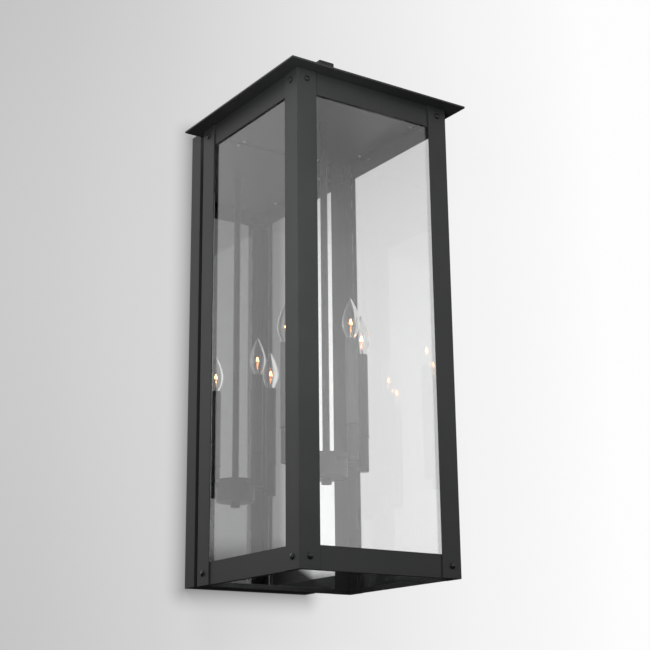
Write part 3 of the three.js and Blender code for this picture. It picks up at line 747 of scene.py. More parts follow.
class HeadTree:
    """Geometry Nodes tree that sets a domed head on each point of a mesh, facing the way it is told."""

    def __init__(self) -> None:
        """Build the tree."""
        self.tree = bpy.data.node_groups.new("domed_heads", "GeometryNodeTree")
        face = self.tree.interface
        face.new_socket("Geometry", in_out="OUTPUT", socket_type="NodeSocketGeometry")
        face.new_socket("Points", in_out="INPUT", socket_type="NodeSocketGeometry")
        for name, value in (("Radius", 0.0055), ("Height", 0.003), ("Slot Width", 0.0)):
            face.new_socket(name, in_out="INPUT", socket_type="NodeSocketFloat").default_value = value
        face.new_socket("Facing", in_out="INPUT", socket_type="NodeSocketVector")
        face.new_socket("Material", in_out="INPUT", socket_type="NodeSocketMaterial")
        self._fill()

    def _fill(self) -> None:
        """Add the nodes and links."""
        build = NodeBuilder(self.tree)
        entry = build.add("NodeGroupInput")
        leave = build.add("NodeGroupOutput")
        dome = build.add("GeometryNodeMeshUVSphere", Segments=28, Rings=16, Radius=1.0)
        place = build.add("GeometryNodeInputPosition")
        split = build.add("ShaderNodeSeparateXYZ")
        build.link(place.outputs[0], split.inputs[0])
        flat = build.math("MAXIMUM", split.outputs["Z"], 0.0)
        raised = build.add("ShaderNodeCombineXYZ")
        build.link(split.outputs["X"], raised.inputs["X"])
        build.link(split.outputs["Y"], raised.inputs["Y"])
        build.link(flat, raised.inputs["Z"])
        halved = build.add("GeometryNodeSetPosition")
        build.link(dome.outputs["Mesh"], halved.inputs["Geometry"])
        build.link(raised.outputs[0], halved.inputs["Position"])
        size = build.add("ShaderNodeCombineXYZ")
        build.link(entry.outputs["Radius"], size.inputs["X"])
        build.link(entry.outputs["Radius"], size.inputs["Y"])
        build.link(entry.outputs["Height"], size.inputs["Z"])
        scaled = build.add("GeometryNodeTransform")
        build.link(halved.outputs[0], scaled.inputs["Geometry"])
        build.link(size.outputs[0], scaled.inputs["Scale"])
        slotted = self._slotted(build, entry, scaled.outputs[0])
        merged = build.add("GeometryNodeMergeByDistance", Distance=1e-6)
        build.link(slotted, merged.inputs["Geometry"])
        turn = build.add("FunctionNodeAlignRotationToVector", axis="Z")
        build.link(entry.outputs["Facing"], turn.inputs["Vector"])
        spread = build.add("GeometryNodeInstanceOnPoints")
        build.link(entry.outputs["Points"], spread.inputs["Points"])
        build.link(merged.outputs[0], spread.inputs["Instance"])
        build.link(turn.outputs[0], spread.inputs["Rotation"])
        real = build.add("GeometryNodeRealizeInstances")
        build.link(spread.outputs[0], real.inputs["Geometry"])
        coat = build.add("GeometryNodeSetMaterial")
        build.link(real.outputs[0], coat.inputs["Geometry"])
        build.link(entry.outputs["Material"], coat.inputs["Material"])
        build.link(coat.outputs[0], leave.inputs["Geometry"])

    def _slotted(self, build: NodeBuilder, entry: bpy.types.Node, head: bpy.types.NodeSocket) -> bpy.types.NodeSocket:
        """Cut a cross recess in the head where the slot width isn't zero.

        Args:
            build: Builder of the tree.
            entry: The tree's input node.
            head: Socket with the plain head.

        Returns:
            The socket with the head that goes on.
        """
        cross = build.add("GeometryNodeJoinGeometry")
        depth = build.math("MULTIPLY", entry.outputs["Height"], 1.0)
        reach = build.math("MULTIPLY", entry.outputs["Radius"], 1.1)
        lift = build.add("ShaderNodeCombineXYZ")
        build.link(build.math("MULTIPLY", entry.outputs["Height"], 1.05), lift.inputs["Z"])
        for along_x in (True, False):
            size = build.add("ShaderNodeCombineXYZ")
            build.link(reach, size.inputs["X" if along_x else "Y"])
            build.link(entry.outputs["Slot Width"], size.inputs["Y" if along_x else "X"])
            build.link(depth, size.inputs["Z"])
            bar = build.add("GeometryNodeMeshCube")
            build.link(size.outputs[0], bar.inputs["Size"])
            raised = build.add("GeometryNodeTransform")
            build.link(bar.outputs["Mesh"], raised.inputs["Geometry"])
            build.link(lift.outputs[0], raised.inputs["Translation"])
            build.link(raised.outputs[0], cross.inputs[0])
        cut = build.add("GeometryNodeMeshBoolean", operation="DIFFERENCE")
        build.link(head, cut.inputs["Mesh 1"])
        build.link(cross.outputs[0], cut.inputs["Mesh 2"])
        choose = build.add("GeometryNodeSwitch", input_type="GEOMETRY")
        build.link(build.math("GREATER_THAN", entry.outputs["Slot Width"], 0.0), choose.inputs["Switch"])
        build.link(head, choose.inputs["False"])
        build.link(cut.outputs["Mesh"], choose.inputs["True"])
        return choose.outputs[0]

    def run(self, name: str, points: Sequence[Vector], facing: Vector, radius: float, height: float,
            material: bpy.types.Material, drive: Drive = Drive.PLAIN) -> bpy.types.Object:
        """Make the heads at some points as one plain mesh.

        Args:
            name: The piece's name.
            points: Where each head's seat is.
            facing: The way the heads look.
            radius: A head's radius.
            height: A head's height.
            material: The heads' material.
            drive: What the heads have in their face.

        Returns:
            The piece.
        """
        data = bpy.data.meshes.new(name)
        data.from_pydata([tuple(p) for p in points], [], [])
        host = bpy.data.objects.new(name, data)
        bpy.context.scene.collection.objects.link(host)
        slot_width = radius * 0.26 if drive is Drive.CROSS else 0.0
        set_inputs(host, self.tree, {"Radius": radius, "Height": height, "Slot Width": slot_width,
                                     "Facing": tuple(facing), "Material": material})
        return plain_mesh(host, name, smooth=True)


class CoilTree:
    """Geometry Nodes tree that winds a round wire into a coil on Z: filaments, threads and ribs."""

    def __init__(self) -> None:
        """Build the tree."""
        self.tree = bpy.data.node_groups.new("wound_wire", "GeometryNodeTree")
        face = self.tree.interface
        face.new_socket("Geometry", in_out="OUTPUT", socket_type="NodeSocketGeometry")
        face.new_socket("Host", in_out="INPUT", socket_type="NodeSocketGeometry")
        for name, value in (("Radius", 0.001), ("Height", 0.01), ("Turns", 10.0), ("Wire Radius", 0.0002)):
            face.new_socket(name, in_out="INPUT", socket_type="NodeSocketFloat").default_value = value
        for name, value in (("Steps", 12), ("Sides", 6)):
            face.new_socket(name, in_out="INPUT", socket_type="NodeSocketInt").default_value = value
        face.new_socket("Material", in_out="INPUT", socket_type="NodeSocketMaterial")
        build = NodeBuilder(self.tree)
        entry = build.add("NodeGroupInput")
        leave = build.add("NodeGroupOutput")
        coil = build.add("GeometryNodeCurveSpiral")
        build.link(entry.outputs["Steps"], coil.inputs["Resolution"])
        build.link(entry.outputs["Turns"], coil.inputs["Rotations"])
        build.link(entry.outputs["Radius"], coil.inputs["Start Radius"])
        build.link(entry.outputs["Radius"], coil.inputs["End Radius"])
        build.link(entry.outputs["Height"], coil.inputs["Height"])
        section = build.add("GeometryNodeCurvePrimitiveCircle")
        build.link(entry.outputs["Sides"], section.inputs["Resolution"])
        build.link(entry.outputs["Wire Radius"], section.inputs["Radius"])
        swept = build.add("GeometryNodeCurveToMesh")
        swept.inputs["Fill Caps"].default_value = True
        build.link(coil.outputs[0], swept.inputs["Curve"])
        build.link(section.outputs[0], swept.inputs["Profile Curve"])
        real = build.add("GeometryNodeRealizeInstances")
        build.link(swept.outputs[0], real.inputs["Geometry"])
        coat = build.add("GeometryNodeSetMaterial")
        build.link(real.outputs[0], coat.inputs["Geometry"])
        build.link(entry.outputs["Material"], coat.inputs["Material"])
        build.link(coat.outputs[0], leave.inputs["Geometry"])

    def run(self, name: str, radius: float, height: float, turns: float, wire_radius: float,
            material: bpy.types.Material, steps: int = 12, sides: int = 6) -> bpy.types.Object:
        """Wind one coil as a plain mesh, from z = 0 up.

        Args:
            name: The piece's name.
            radius: Radius of the coil's middle line.
            height: Height from the first turn to the last.
            turns: Number of turns.
            wire_radius: The wire's radius.
            material: The wire's material.
            steps: Number of steps in a turn.
            sides: Number of facets round the wire.

        Returns:
            The piece.
        """
        host = bpy.data.objects.new(name, bpy.data.meshes.new(name))
        bpy.context.scene.collection.objects.link(host)
        set_inputs(host, self.tree, {"Radius": radius, "Height": height, "Turns": turns,
                                     "Wire Radius": wire_radius, "Steps": steps, "Sides": sides,
                                     "Material": material})
        return plain_mesh(host, name, smooth=True)


def set_inputs(host: bpy.types.Object, tree: bpy.types.NodeTree, values: dict[str, object]) -> None:
    """Add a Geometry Nodes modifier and set its inputs by their identifiers.

    Args:
        host: Object that gets the modifier.
        tree: Node tree of the modifier.
        values: Value of each input, by its name.
    """
    modifier = host.modifiers.new("nodes", "NODES")
    modifier.node_group = tree
    for item in tree.interface.items_tree:
        if item.item_type == "SOCKET" and item.in_out == "INPUT" and item.name in values:
            modifier[item.identifier] = values[item.name]


# The lantern's frame of reference

CAD: dict[str, bpy.types.Object] = {}


@dataclass
class Layout:
    """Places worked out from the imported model."""

    axis: Vector = field(init=False)
    half: float = field(init=False)
    plate_front: float = field(init=False)

    def __post_init__(self) -> None:
        """Measure the cage and the plate."""
        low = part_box("post_front_left")[0]
        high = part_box("post_back_right")[1]
        self.axis = Vector(((low.x + high.x) / 2, (low.y + high.y) / 2, 0.0))
        self.half = (high.x - low.x) / 2
        self.plate_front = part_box("back_plate")[0].y

    def side_turn(self, side: str) -> Matrix:
        """Matrix that turns a shape drawn for the front to another side, about the cage's axis.

        Args:
            side: Name of the lantern's side, such as front.

        Returns:
            The turn about the cage's axis.
        """
        about = Matrix.Translation(self.axis)
        turn = Matrix.Rotation(SIDES.index(side) * QUARTER, 4, "Z")
        return about @ turn @ about.inverted()

    def middle(self, node: str) -> Vector:
        """Middle of a CAD node's box."""
        low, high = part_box(node)
        return (low + high) / 2


@dataclass
class Toolkit:
    """What every sub-assembly builds with."""

    layout: Layout
    finishes: Finishes
    heads: HeadTree
    coils: CoilTree


# Sub-assemblies


@dataclass
class Cage:
    """Corner posts, channel rails, corner gussets and their rivets."""

    kit: Toolkit
    sheet_edge: float = 0.45 * MM
    gusset_edge: float = 0.25 * MM
    rivet_radius: float = 5.5 * MM
    rivet_height: float = 3.0 * MM
    rivet_inset: float = 20.0 * MM

    def build(self) -> None:
        """Build every piece of the cage."""
        for corner in CORNERS:
            self._sheet(f"post_{corner}", f"corner_post_{corner}", self.sheet_edge)
        for side in SIDES:
            for end in ENDS:
                self._sheet(f"{end}_rail_{side}", f"{end}_channel_{side}", self.sheet_edge)
        for end in ENDS:
            for number, corner in enumerate(CORNERS):
                self._gusset(end, corner, number)
        self._sheet("back_panel", "mirror_backing", self.gusset_edge)

    def _sheet(self, node: str, name: str, edge: float) -> None:
        """Make one sheet-metal piece from its CAD solid.

        Args:
            node: Name of the CAD node.
            name: Name of the piece.
            edge: Width of the eased edge.
        """
        piece = formed_from(node, name, edge)
        dress(piece, self.kit.finishes.coat)
        settle(piece, "root", node)

    def _gusset(self, end: str, corner: str, number: int) -> None:
        """Make a corner gusset with its two rivets and their domed heads.

        Args:
            end: The bottom or the top.
            corner: Name of the cage's corner.
            number: Number of the corner, and of the first of the two sides that meet there.
        """
        node = f"riveted_gusset_{end}_{corner}"
        layout = self.kit.layout
        bracket = formed_from(node, f"gusset_{end}_{corner}", self.gusset_edge, segments=1)
        dress(bracket, self.kit.finishes.coat)
        settle(bracket, "root", node)
        level = layout.middle(node).z
        reach = layout.half - self.rivet_inset
        for side_number in (number, (number + 3) % 4):
            side = SIDES[side_number]
            along = -reach if side_number == number else reach
            turn = layout.side_turn(side)
            seat = turn @ Vector((layout.axis.x + along, layout.axis.y - layout.half - 0.4 * MM, level))
            facing = turn.to_3x3() @ Vector((0.0, -1.0, 0.0))
            heads = self.kit.heads.run(f"rivet_{end}_{corner}_{side}", [seat], facing, self.rivet_radius + 0.1 * MM,
                                       self.rivet_height + 0.05 * MM, self.kit.finishes.rivet)
            settle(heads, "root")


@dataclass
class Glazing:
    """Three clear panes and the mirror."""

    kit: Toolkit
    arris: float = 0.4 * MM
    silver_depth: float = 1.0 * MM

    def build(self) -> None:
        """Build the panes and the mirror."""
        for side in SIDES:
            if side == "back":
                continue
            pane = formed_from(f"glass_{side}", f"pane_{side}", self.arris, segments=1)
            dress(pane, self.kit.finishes.pane)
            self._grind(pane, Vector((0, 1, 0)) if side == "front" else Vector((1, 0, 0)))
            settle(pane, "root", f"glass_{side}")
        self._mirror()

    def _grind(self, pane: bpy.types.Object, across: Vector) -> None:
        """Give every face but the two broad ones the ground edge's finish.

        Args:
            pane: Pane to dress.
            across: Direction square to the two broad faces.
        """
        pane.data.materials.append(self.kit.finishes.ground_edge)
        for face in pane.data.polygons:
            if abs(face.normal.dot(across)) < 0.9:
                face.material_index = 1

    def _mirror(self) -> None:
        """Make the mirror as its silvered sheet, at the depth that the eye sees through its glass."""
        low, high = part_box("mirror")
        mesh = bmesh.new()
        bmesh.ops.create_cube(mesh, size=1.0)
        front = high.y - self.silver_depth
        for vertex in mesh.verts:
            vertex.co = Vector((
                low.x if vertex.co.x < 0 else high.x,
                front if vertex.co.y < 0 else high.y,
                low.z if vertex.co.z < 0 else high.z,
            ))
        bmesh.ops.bevel(mesh, geom=list(mesh.edges), offset=self.arris * 0.5, segments=1, profile=0.5,
                        affect="EDGES")
        piece = finish_mesh("mirror_sheet", mesh)
        dress(piece, self.kit.finishes.silver)
        settle(piece, "root", "mirror")


@dataclass
class Roof:
    """Hipped roof, its square cap, and the ceiling plate with its screws."""

    kit: Toolkit
    fold: float = 0.7 * MM
    screw_radius: float = 4.0 * MM
    screw_height: float = 2.2 * MM
    screw_out: float = 145.0 * MM
    screw_along: float = 84.0 * MM

    def build(self) -> None:
        """Build the roof's pieces."""
        finishes = self.kit.finishes
        roof = formed_from("roof", "hipped_roof", self.fold, segments=3)
        settle(dress(roof, finishes.roof_coat), "roof", "roof")
        cap = formed_from("roof_cap", "square_cap", self.fold, segments=3)
        settle(dress(cap, finishes.roof_coat), "roof_cap", "roof_cap")
        ceiling = formed_from("ceiling_plate", "ceiling_tray", self.fold * 0.6)
        settle(dress(ceiling, finishes.coat), "root", "ceiling_plate")
        self._screws()

    def _screws(self) -> None:
        """Set the ceiling's screws, their heads down."""
        layout = self.kit.layout
        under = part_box("ceiling_plate")[0].z
        points = [
            layout.side_turn(side) @ Vector((layout.axis.x + end * self.screw_along, layout.axis.y - self.screw_out,
                                             under))
            for side in SIDES
            for end in (-1, 1)
        ]
        screws = self.kit.heads.run("ceiling_screws", points, Vector((0, 0, -1)), self.screw_radius,
                                    self.screw_height, self.kit.finishes.zinc, Drive.CROSS)
        settle(screws, "root")


@dataclass
class Cluster:
    """Centre pipe, stem, hub and the four candles with their lamps."""

    kit: Toolkit
    sheet: float = 1.5 * MM
    envelope_wall: float = 0.8 * MM
    widest_share: float = 0.37
    filament_rise: float = 9.0 * MM

    def build(self) -> None:
        """Build the cluster from the top down."""
        self._tube("centre_pipe", "threaded_pipe", 1.8 * MM, self.kit.finishes.zinc, 0.2 * MM)
        self._tube("stem", "stem_tube", 1.0 * MM, self.kit.finishes.coat, 0.3 * MM)
        self._tube("stem_collar", "ceiling_collar", 1.3 * MM, self.kit.finishes.coat, 0.5 * MM)
        self._hub()
        for side in SIDES:
            self._candle(side)

    def _tube(self, node: str, name: str, wall: float, material: bpy.types.Material,
              edge: float) -> bpy.types.Object:
        """Make an upright tube with eased ends in the place of a CAD tube.

        Args:
            node: Name of the CAD node.
            name: Name of the piece.
            wall: Thickness of the tube's wall.
            material: Its finish.
            edge: Width of the eased edge.

        Returns:
            The tube.
        """
        low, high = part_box(node)
        middle = (low + high) / 2
        outer = (high.x - low.x) / 2
        inner = outer - wall
        profile = [
            (outer - edge, low.z), (outer, low.z + edge), (outer, high.z - edge), (outer - edge, high.z),
            (inner, high.z), (inner, low.z), (outer - edge, low.z),
        ]
        piece = move(turned(name, profile, 40), Matrix.Translation((middle.x, middle.y, 0.0)))
        return settle(dress(piece, material), "root", node)

    def _hub(self) -> None:
        """Make the hub drum, its cover and the finial."""
        finishes = self.kit.finishes
        low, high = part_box("hub")
        centre = self.kit.layout.middle("hub")
        radius = (high.x - low.x) / 2
        ease = 1.4 * MM
        arc = [
            (radius - ease + ease * math.cos(t), high.z - ease + ease * math.sin(t))
            for t in (k * math.pi / 12 for k in range(7))
        ]
        bore = 5.4 * MM
        profile = [
            (radius - 0.3 * MM, low.z), (radius, low.z + 0.3 * MM), *arc, (bore, high.z), (bore, high.z - self.sheet),
            (radius - self.sheet, high.z - self.sheet), (radius - self.sheet, low.z), (radius - 0.3 * MM, low.z),
        ]
        body = move(turned("hub_drum", profile, 72), Matrix.Translation((centre.x, centre.y, 0.0)))
        settle(dress(body, finishes.coat), "root", "hub")
        cover = formed_from("hub_cover", "hub_underplate", 0.3 * MM)
        settle(dress(cover, finishes.coat), "root", "hub_cover")
        self._finial()

    def _finial(self) -> None:
        """Make the turned finial under the hub."""
        low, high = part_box("hub_finial")
        centre = self.kit.layout.middle("hub_finial")
        radius = (high.x - low.x) / 2
        ease = 1.2 * MM
        foot = [
            (radius - ease + ease * math.sin(t), low.z + ease * (1 - math.cos(t)))
            for t in (k * math.pi / 12 for k in range(7))
        ]
        profile = [
            (0.0, low.z), *foot, (radius, high.z - 0.4 * MM), (radius - 0.4 * MM, high.z), (5.4 * MM, high.z),
            (5.4 * MM, low.z + 3 * MM), (0.0, low.z + 3 * MM),
        ]
        finial = move(turned("hub_finial_turned", profile, 40), Matrix.Translation((centre.x, centre.y, 0.0)))
        settle(dress(finial, self.kit.finishes.coat), "root", "hub_finial")

    def _candle(self, side: str) -> None:
        """Make one arm, cup, sleeve, socket and lamp.

        Args:
            side: Name of the lantern's side, such as front.
        """
        finishes = self.kit.finishes
        centre = self.kit.layout.middle(f"candle_sleeve_{side}")
        place = Matrix.Translation((centre.x, centre.y, 0.0))
        self._arm(side)
        self._cup(side, place)
        self._sleeve(side, place)
        socket = formed_from(f"socket_{side}", f"lamp_socket_{side}", 0.3 * MM, segments=1)
        settle(dress(socket, finishes.phenolic), "root", f"socket_{side}")
        self._lamp(side, place)

    def _arm(self, side: str) -> None:
        """Make the short tube from the hub to a cup.

        Args:
            side: Name of the lantern's side, such as front.
        """
        low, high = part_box(f"arm_{side}")
        centre = (low + high) / 2
        along_x = (high.x - low.x) > (high.y - low.y)
        span = max(high.x - low.x, high.y - low.y)
        radius = (high.z - low.z) / 2
        wall = 1.5 * MM
        profile = [
            (radius, -span / 2), (radius, span / 2), (radius - wall, span / 2), (radius - wall, -span / 2),
            (radius, -span / 2),
        ]
        arm = turned(f"arm_tube_{side}", profile, 32)
        move(arm, Matrix.Translation(centre) @ turned_towards(Axis.X if along_x else Axis.Y))
        settle(dress(arm, self.kit.finishes.coat), "root", f"arm_{side}")

    def _cup(self, side: str, place: Matrix) -> None:
        """Make the cup with the rolled ring round its rim.

        Args:
            side: Name of the lantern's side, such as front.
            place: Matrix from the shape's own axis to its place in the lantern.
        """
        low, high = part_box(f"candle_cup_{side}")
        ring = (high.x - low.x) / 2
        radius = ring - 2.0 * MM
        inner = radius - 1.4 * MM
        bead = 1.5 * MM
        middle = high.z - bead
        roll = [
            (ring - bead + bead * math.cos(t), middle + bead * math.sin(t))
            for t in (math.radians(a) for a in range(-90, 91, 15))
        ]
        foot = [
            (radius - 1.5 * MM + 1.5 * MM * math.sin(t), low.z + 1.5 * MM * (1 - math.cos(t)))
            for t in (math.radians(a) for a in range(0, 91, 15))
        ]
        profile = [
            (0.0, low.z), *foot, (radius, middle - bead), *roll, (inner, high.z), (inner, low.z + 1.4 * MM),
            (0.0, low.z + 1.4 * MM),
        ]
        cup = move(turned(f"cup_{side}", profile, 48), place)
        settle(dress(cup, self.kit.finishes.coat), "root", f"candle_cup_{side}")

    def _sleeve(self, side: str, place: Matrix) -> None:
        """Make the candle sleeve with a rolled upper rim.

        Args:
            side: Name of the lantern's side, such as front.
            place: Matrix from the shape's own axis to its place in the lantern.
        """
        low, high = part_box(f"candle_sleeve_{side}")
        outer = (high.x - low.x) / 2
        inner = outer - 1.0 * MM
        ease = 0.5 * MM
        rim = [
            ((outer + inner) / 2 + ease * math.cos(t), high.z - ease + ease * math.sin(t))
            for t in (math.radians(a) for a in range(0, 181, 30))
        ]
        profile = [(outer, low.z), *rim, (inner, low.z), (outer, low.z)]
        sleeve = move(turned(f"sleeve_{side}", profile, 48), place)
        settle(dress(sleeve, self.kit.finishes.sleeve), "root", f"candle_sleeve_{side}")

    def _envelope(self, mouth: float, tip: float, widest: float, neck: float) -> list[tuple[float, float]]:
        """Outline of a torpedo envelope from its neck to its drawn-out tip.

        Args:
            mouth: Height of the sleeve's mouth, where the envelope starts to widen.
            tip: Height of the tip.
            widest: Largest radius.
            neck: Radius at the mouth.

        Returns:
            Radius and height of each point, from the mouth to the tip.
        """
        outline = []
        steps = 30
        for step in range(steps + 1):
            share = step / steps
            if share < self.widest_share:
                swell = math.sin(share / self.widest_share * math.pi / 2)
                radius = neck + (widest - neck) * swell
            else:
                fall = (share - self.widest_share) / (1 - self.widest_share)
                radius = widest * max(math.cos(fall * math.pi / 2), 0.0) ** 0.92
            outline.append((radius, mouth + share * (tip - mouth)))
        outline[-1] = (0.0, tip)
        return outline

    def _lamp(self, side: str, place: Matrix) -> None:
        """Make a lamp: its envelope, mount, filament and screw base.

        Args:
            side: Name of the lantern's side, such as front.
            place: Matrix from the shape's own axis to its place in the lantern.
        """
        node = f"bulb_{side}"
        low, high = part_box(node)
        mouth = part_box(f"candle_sleeve_{side}")[1].z
        widest = (high.x - low.x) / 2
        neck = 7.0 * MM
        throat = mouth - 4.0 * MM
        outer = self._envelope(mouth, high.z, widest, neck)
        glass = move(self._shell(f"envelope_{side}", outer, throat), place)
        dress(glass, self.kit.finishes.lamp_glass)
        settle(glass, node, node)
        self._base(side, place, low.z, throat)
        self._mount(side, place, mouth)

    def _shell(self, name: str, outer: Profile, throat: float) -> bpy.types.Object:
        """Turn the envelope's thin wall.

        Args:
            name: The piece's name.
            outer: Outline of the outside, from the sleeve's mouth to the tip.
            throat: Height of the wall's lower end, inside the sleeve.

        Returns:
            The envelope, on the Z axis.
        """
        wall = self.envelope_wall
        neck, tip = outer[0][0], outer[-1][1]
        inside = [(radius - wall, height) for radius, height in outer if radius > 2 * wall]
        crown = (inside[-1][1] + tip) / 2
        ring = [(0.0, tip), *reversed(outer[:-1]), (neck, throat), (neck - wall, throat), *inside, (0.0, crown)]
        return turned(name, ring, 56, smooth_below=60.0)

    def _base(self, side: str, place: Matrix, low: float, high: float) -> None:
        """Make the lamp's screw shell, its thread and the contact below it.

        Args:
            side: Name of the lantern's side, such as front.
            place: Matrix from the shape's own axis to its place in the lantern.
            low: Height of the lamp's lower end.
            high: Height of the shell's upper end.
        """
        finishes = self.kit.finishes
        radius = 5.4 * MM
        profile = [
            (0.0, low), (2.0 * MM, low), (2.4 * MM, low + 0.6 * MM), (radius - 1.4 * MM, low + 2.2 * MM),
            (radius, low + 3.0 * MM), (radius, high - 1.0 * MM), (radius + 0.5 * MM, high), (0.0, high),
        ]
        shell = turned(f"screw_shell_{side}", profile, 32)
        dress(shell, finishes.nickel)
        thread = self.kit.coils.run(f"thread_{side}", radius, high - low - 7.0 * MM, 5.0, 0.62 * MM, finishes.nickel,
                                    steps=24)
        move(thread, Matrix.Translation((0.0, 0.0, low + 4.0 * MM)))
        base = move(joined(f"screw_base_{side}", [shell, thread]), place)
        settle(base, f"bulb_{side}")

    def _mount(self, side: str, place: Matrix, mouth: float) -> None:
        """Make the glass mount, its support wires and the coiled filament.

        Args:
            side: Name of the lantern's side, such as front.
            place: Matrix from the shape's own axis to its place in the lantern.
            mouth: Height of the sleeve's upper end.
        """
        finishes = self.kit.finishes
        press = mouth + 11.0 * MM
        flare = [
            (0.0, mouth - 3.5 * MM), (4.6 * MM, mouth - 3.5 * MM), (3.4 * MM, mouth), (2.4 * MM, mouth + 4.0 * MM),
            (2.1 * MM, press), (1.2 * MM, press + 1.2 * MM), (0.0, press + 1.6 * MM),
        ]
        stem = move(turned(f"glass_mount_{side}", flare, 24), place)
        settle(dress(stem, finishes.lamp_glass), f"bulb_{side}")
        level = mouth + 27.0 * MM
        spread = 3.0 * MM
        wires = []
        for sign in (-1, 1):
            route = [
                (sign * 1.1 * MM, 0.0, press - 1.0 * MM), (sign * 1.4 * MM, 0.0, press + 4.0 * MM),
                (sign * spread * 0.8, 0.0, level - 4.0 * MM), (sign * spread, 0.0, level),
            ]
            wires.append(dress(wire(f"lead_{side}_{sign}", route, 0.22 * MM), finishes.nickel))
        hook = [(0.0, 0.0, press), (0.0, 0.3 * MM, level + 1.0 * MM), (0.0, 0.0, level + self.filament_rise)]
        wires.append(dress(wire(f"hook_{side}", hook, 0.2 * MM), finishes.nickel))
        leads = move(joined(f"lead_wires_{side}", wires), place)
        settle(leads, f"bulb_{side}")
        self._filament(side, place, level, spread)

    def _filament(self, side: str, place: Matrix, level: float, spread: float) -> None:
        """Make the filament: two coiled legs that meet at the hook.

        Args:
            side: Name of the lantern's side, such as front.
            place: Matrix from the shape's own axis to its place in the lantern.
            level: Height of the filament's lower ends.
            spread: Distance of each lower end from the axis.
        """
        legs = []
        apex = Vector((0.0, 0.0, level + self.filament_rise))
        for sign in (-1, 1):
            foot = Vector((sign * spread, 0.0, level))
            span = apex - foot
            coil = self.kit.coils.run(f"coil_{side}_{sign}", 0.55 * MM, span.length, 16.0, 0.17 * MM,
                                      self.kit.finishes.filament, steps=8, sides=5)
            move(coil, Matrix.Translation(foot) @ span.to_track_quat("Z", "Y").to_matrix().to_4x4())
            legs.append(coil)
        filament = move(joined(f"filament_{side}", legs), place)
        settle(filament, f"bulb_{side}")


@dataclass
class WallMount:
    """Back plate, bracket, cap nuts, standoffs and the supply wires."""

    kit: Toolkit
    wire_radius: float = 1.5 * MM

    def build(self) -> None:
        """Build the wall mounting."""
        finishes = self.kit.finishes
        plate = formed_from("back_plate", "wall_plate", 0.7 * MM, segments=3)
        settle(dress(plate, finishes.coat), "root", "back_plate")
        for end in ("upper", "lower"):
            tube = formed_from(f"{end}_standoff", f"{end}_spacer", 0.7 * MM, segments=3)
            settle(dress(tube, finishes.coat), "root", f"{end}_standoff")
        bracket = formed_from("wall_bracket", "crossbar", 0.4 * MM)
        settle(dress(bracket, finishes.zinc), "root", "wall_bracket")
        for side in ("left", "right"):
            nut = formed_from(f"cap_nut_{side}", f"domed_nut_{side}", 0.35 * MM)
            settle(dress(nut, finishes.brass), f"cap_nut_{side}", f"cap_nut_{side}")
        self._ground_screw()
        self._supply()

    def _ground_screw(self) -> None:
        """Set the green earth screw on the crossbar, its head towards the wall's box."""
        low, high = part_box("wall_bracket")
        seat = Vector((low.x + 14.0 * MM, -2.5 * MM, 0.0))
        green = self.kit.finishes.insulation("earth_green", (0.05, 0.30, 0.10))
        screw = self.kit.heads.run("earth_screw", [seat], Vector((0, -1, 0)), 4.0 * MM, 2.0 * MM, green, Drive.CROSS)
        settle(screw, "root")

    def _supply(self) -> None:
        """Run the three supply wires from behind the crossbar, through the standoff, to the pipe."""
        layout = self.kit.layout
        standoff = layout.middle("upper_standoff")
        hole_y = layout.plate_front
        top_z = standoff.z
        colours = {"black": (0.02, 0.02, 0.02), "white": (0.75, 0.74, 0.70), "green": (0.05, 0.32, 0.10)}
        for number, (name, colour) in enumerate(colours.items()):
            offset = (number - 1) * 3.6 * MM
            start_x = (number - 1) * 18.0 * MM
            back_y = -12.0 * MM
            route = [
                (start_x, -8.0 * MM, 26.0 * MM),
                (start_x * 1.4, back_y - 4.0 * MM, 60.0 * MM),
                (start_x + offset, back_y - 8.0 * MM, 150.0 * MM),
                (offset * 2.0, back_y - 6.0 * MM, 270.0 * MM),
                (offset, back_y - 8.0 * MM, top_z - 30.0 * MM),
                (offset, hole_y + 8.0 * MM, top_z - 3.0 * MM),
                (offset, hole_y - 12.0 * MM, top_z),
                (offset, layout.axis.y + layout.half + 12.0 * MM, top_z),
                (offset, layout.axis.y + layout.half - 5.5 * MM, top_z),
            ]
            lead = wire(f"supply_wire_{name}", route, self.wire_radius)
            dress(lead, self.kit.finishes.insulation(f"insulation_{name}", colour))
            settle(lead, "root")
            self._connector(name, start_x)

    def _connector(self, name: str, x: float) -> None:
        """Make the twist-on connector at the lower end of a supply wire.

        Args:
            name: Name of the wire.
            x: Place of the wire's lower end across the plate.
        """
        length = 20.0 * MM
        profile = [(0.0, 0.0), (3.0 * MM, 0.0)]
        ribs = 7
        for rib in range(ribs):
            z = 2.0 * MM + rib * (length - 6.0 * MM) / ribs
            profile += [(3.1 * MM + rib * 0.32 * MM, z), (3.6 * MM + rib * 0.32 * MM, z + 1.0 * MM)]
        profile += [(6.2 * MM, length - 2.0 * MM), (6.4 * MM, length), (0.0, length)]
        cone = turned(f"wire_connector_{name}", profile, 24, smooth_below=20.0)
        move(cone, Matrix.Translation((x, -8.5 * MM, 24.0 * MM)))
        colour = self.kit.finishes.insulation(f"connector_{name}", (0.65, 0.24, 0.03))
        settle(dress(cone, colour), "root")


# Studio


# Level round the room by turn in degrees from straight out, positive to the right.
ROOM_RING = (
    (-180.0, 0.78), (-150.0, 0.86), (-135.0, 0.82), (-120.0, 0.36), (-80.0, 0.3), (-55.0, 0.28), (-20.0, 0.26),
    (32.8, 0.27), (33.5, 1.55), (42.0, 1.55), (60.0, 0.9), (120.0, 0.7), (180.0, 0.78),
)
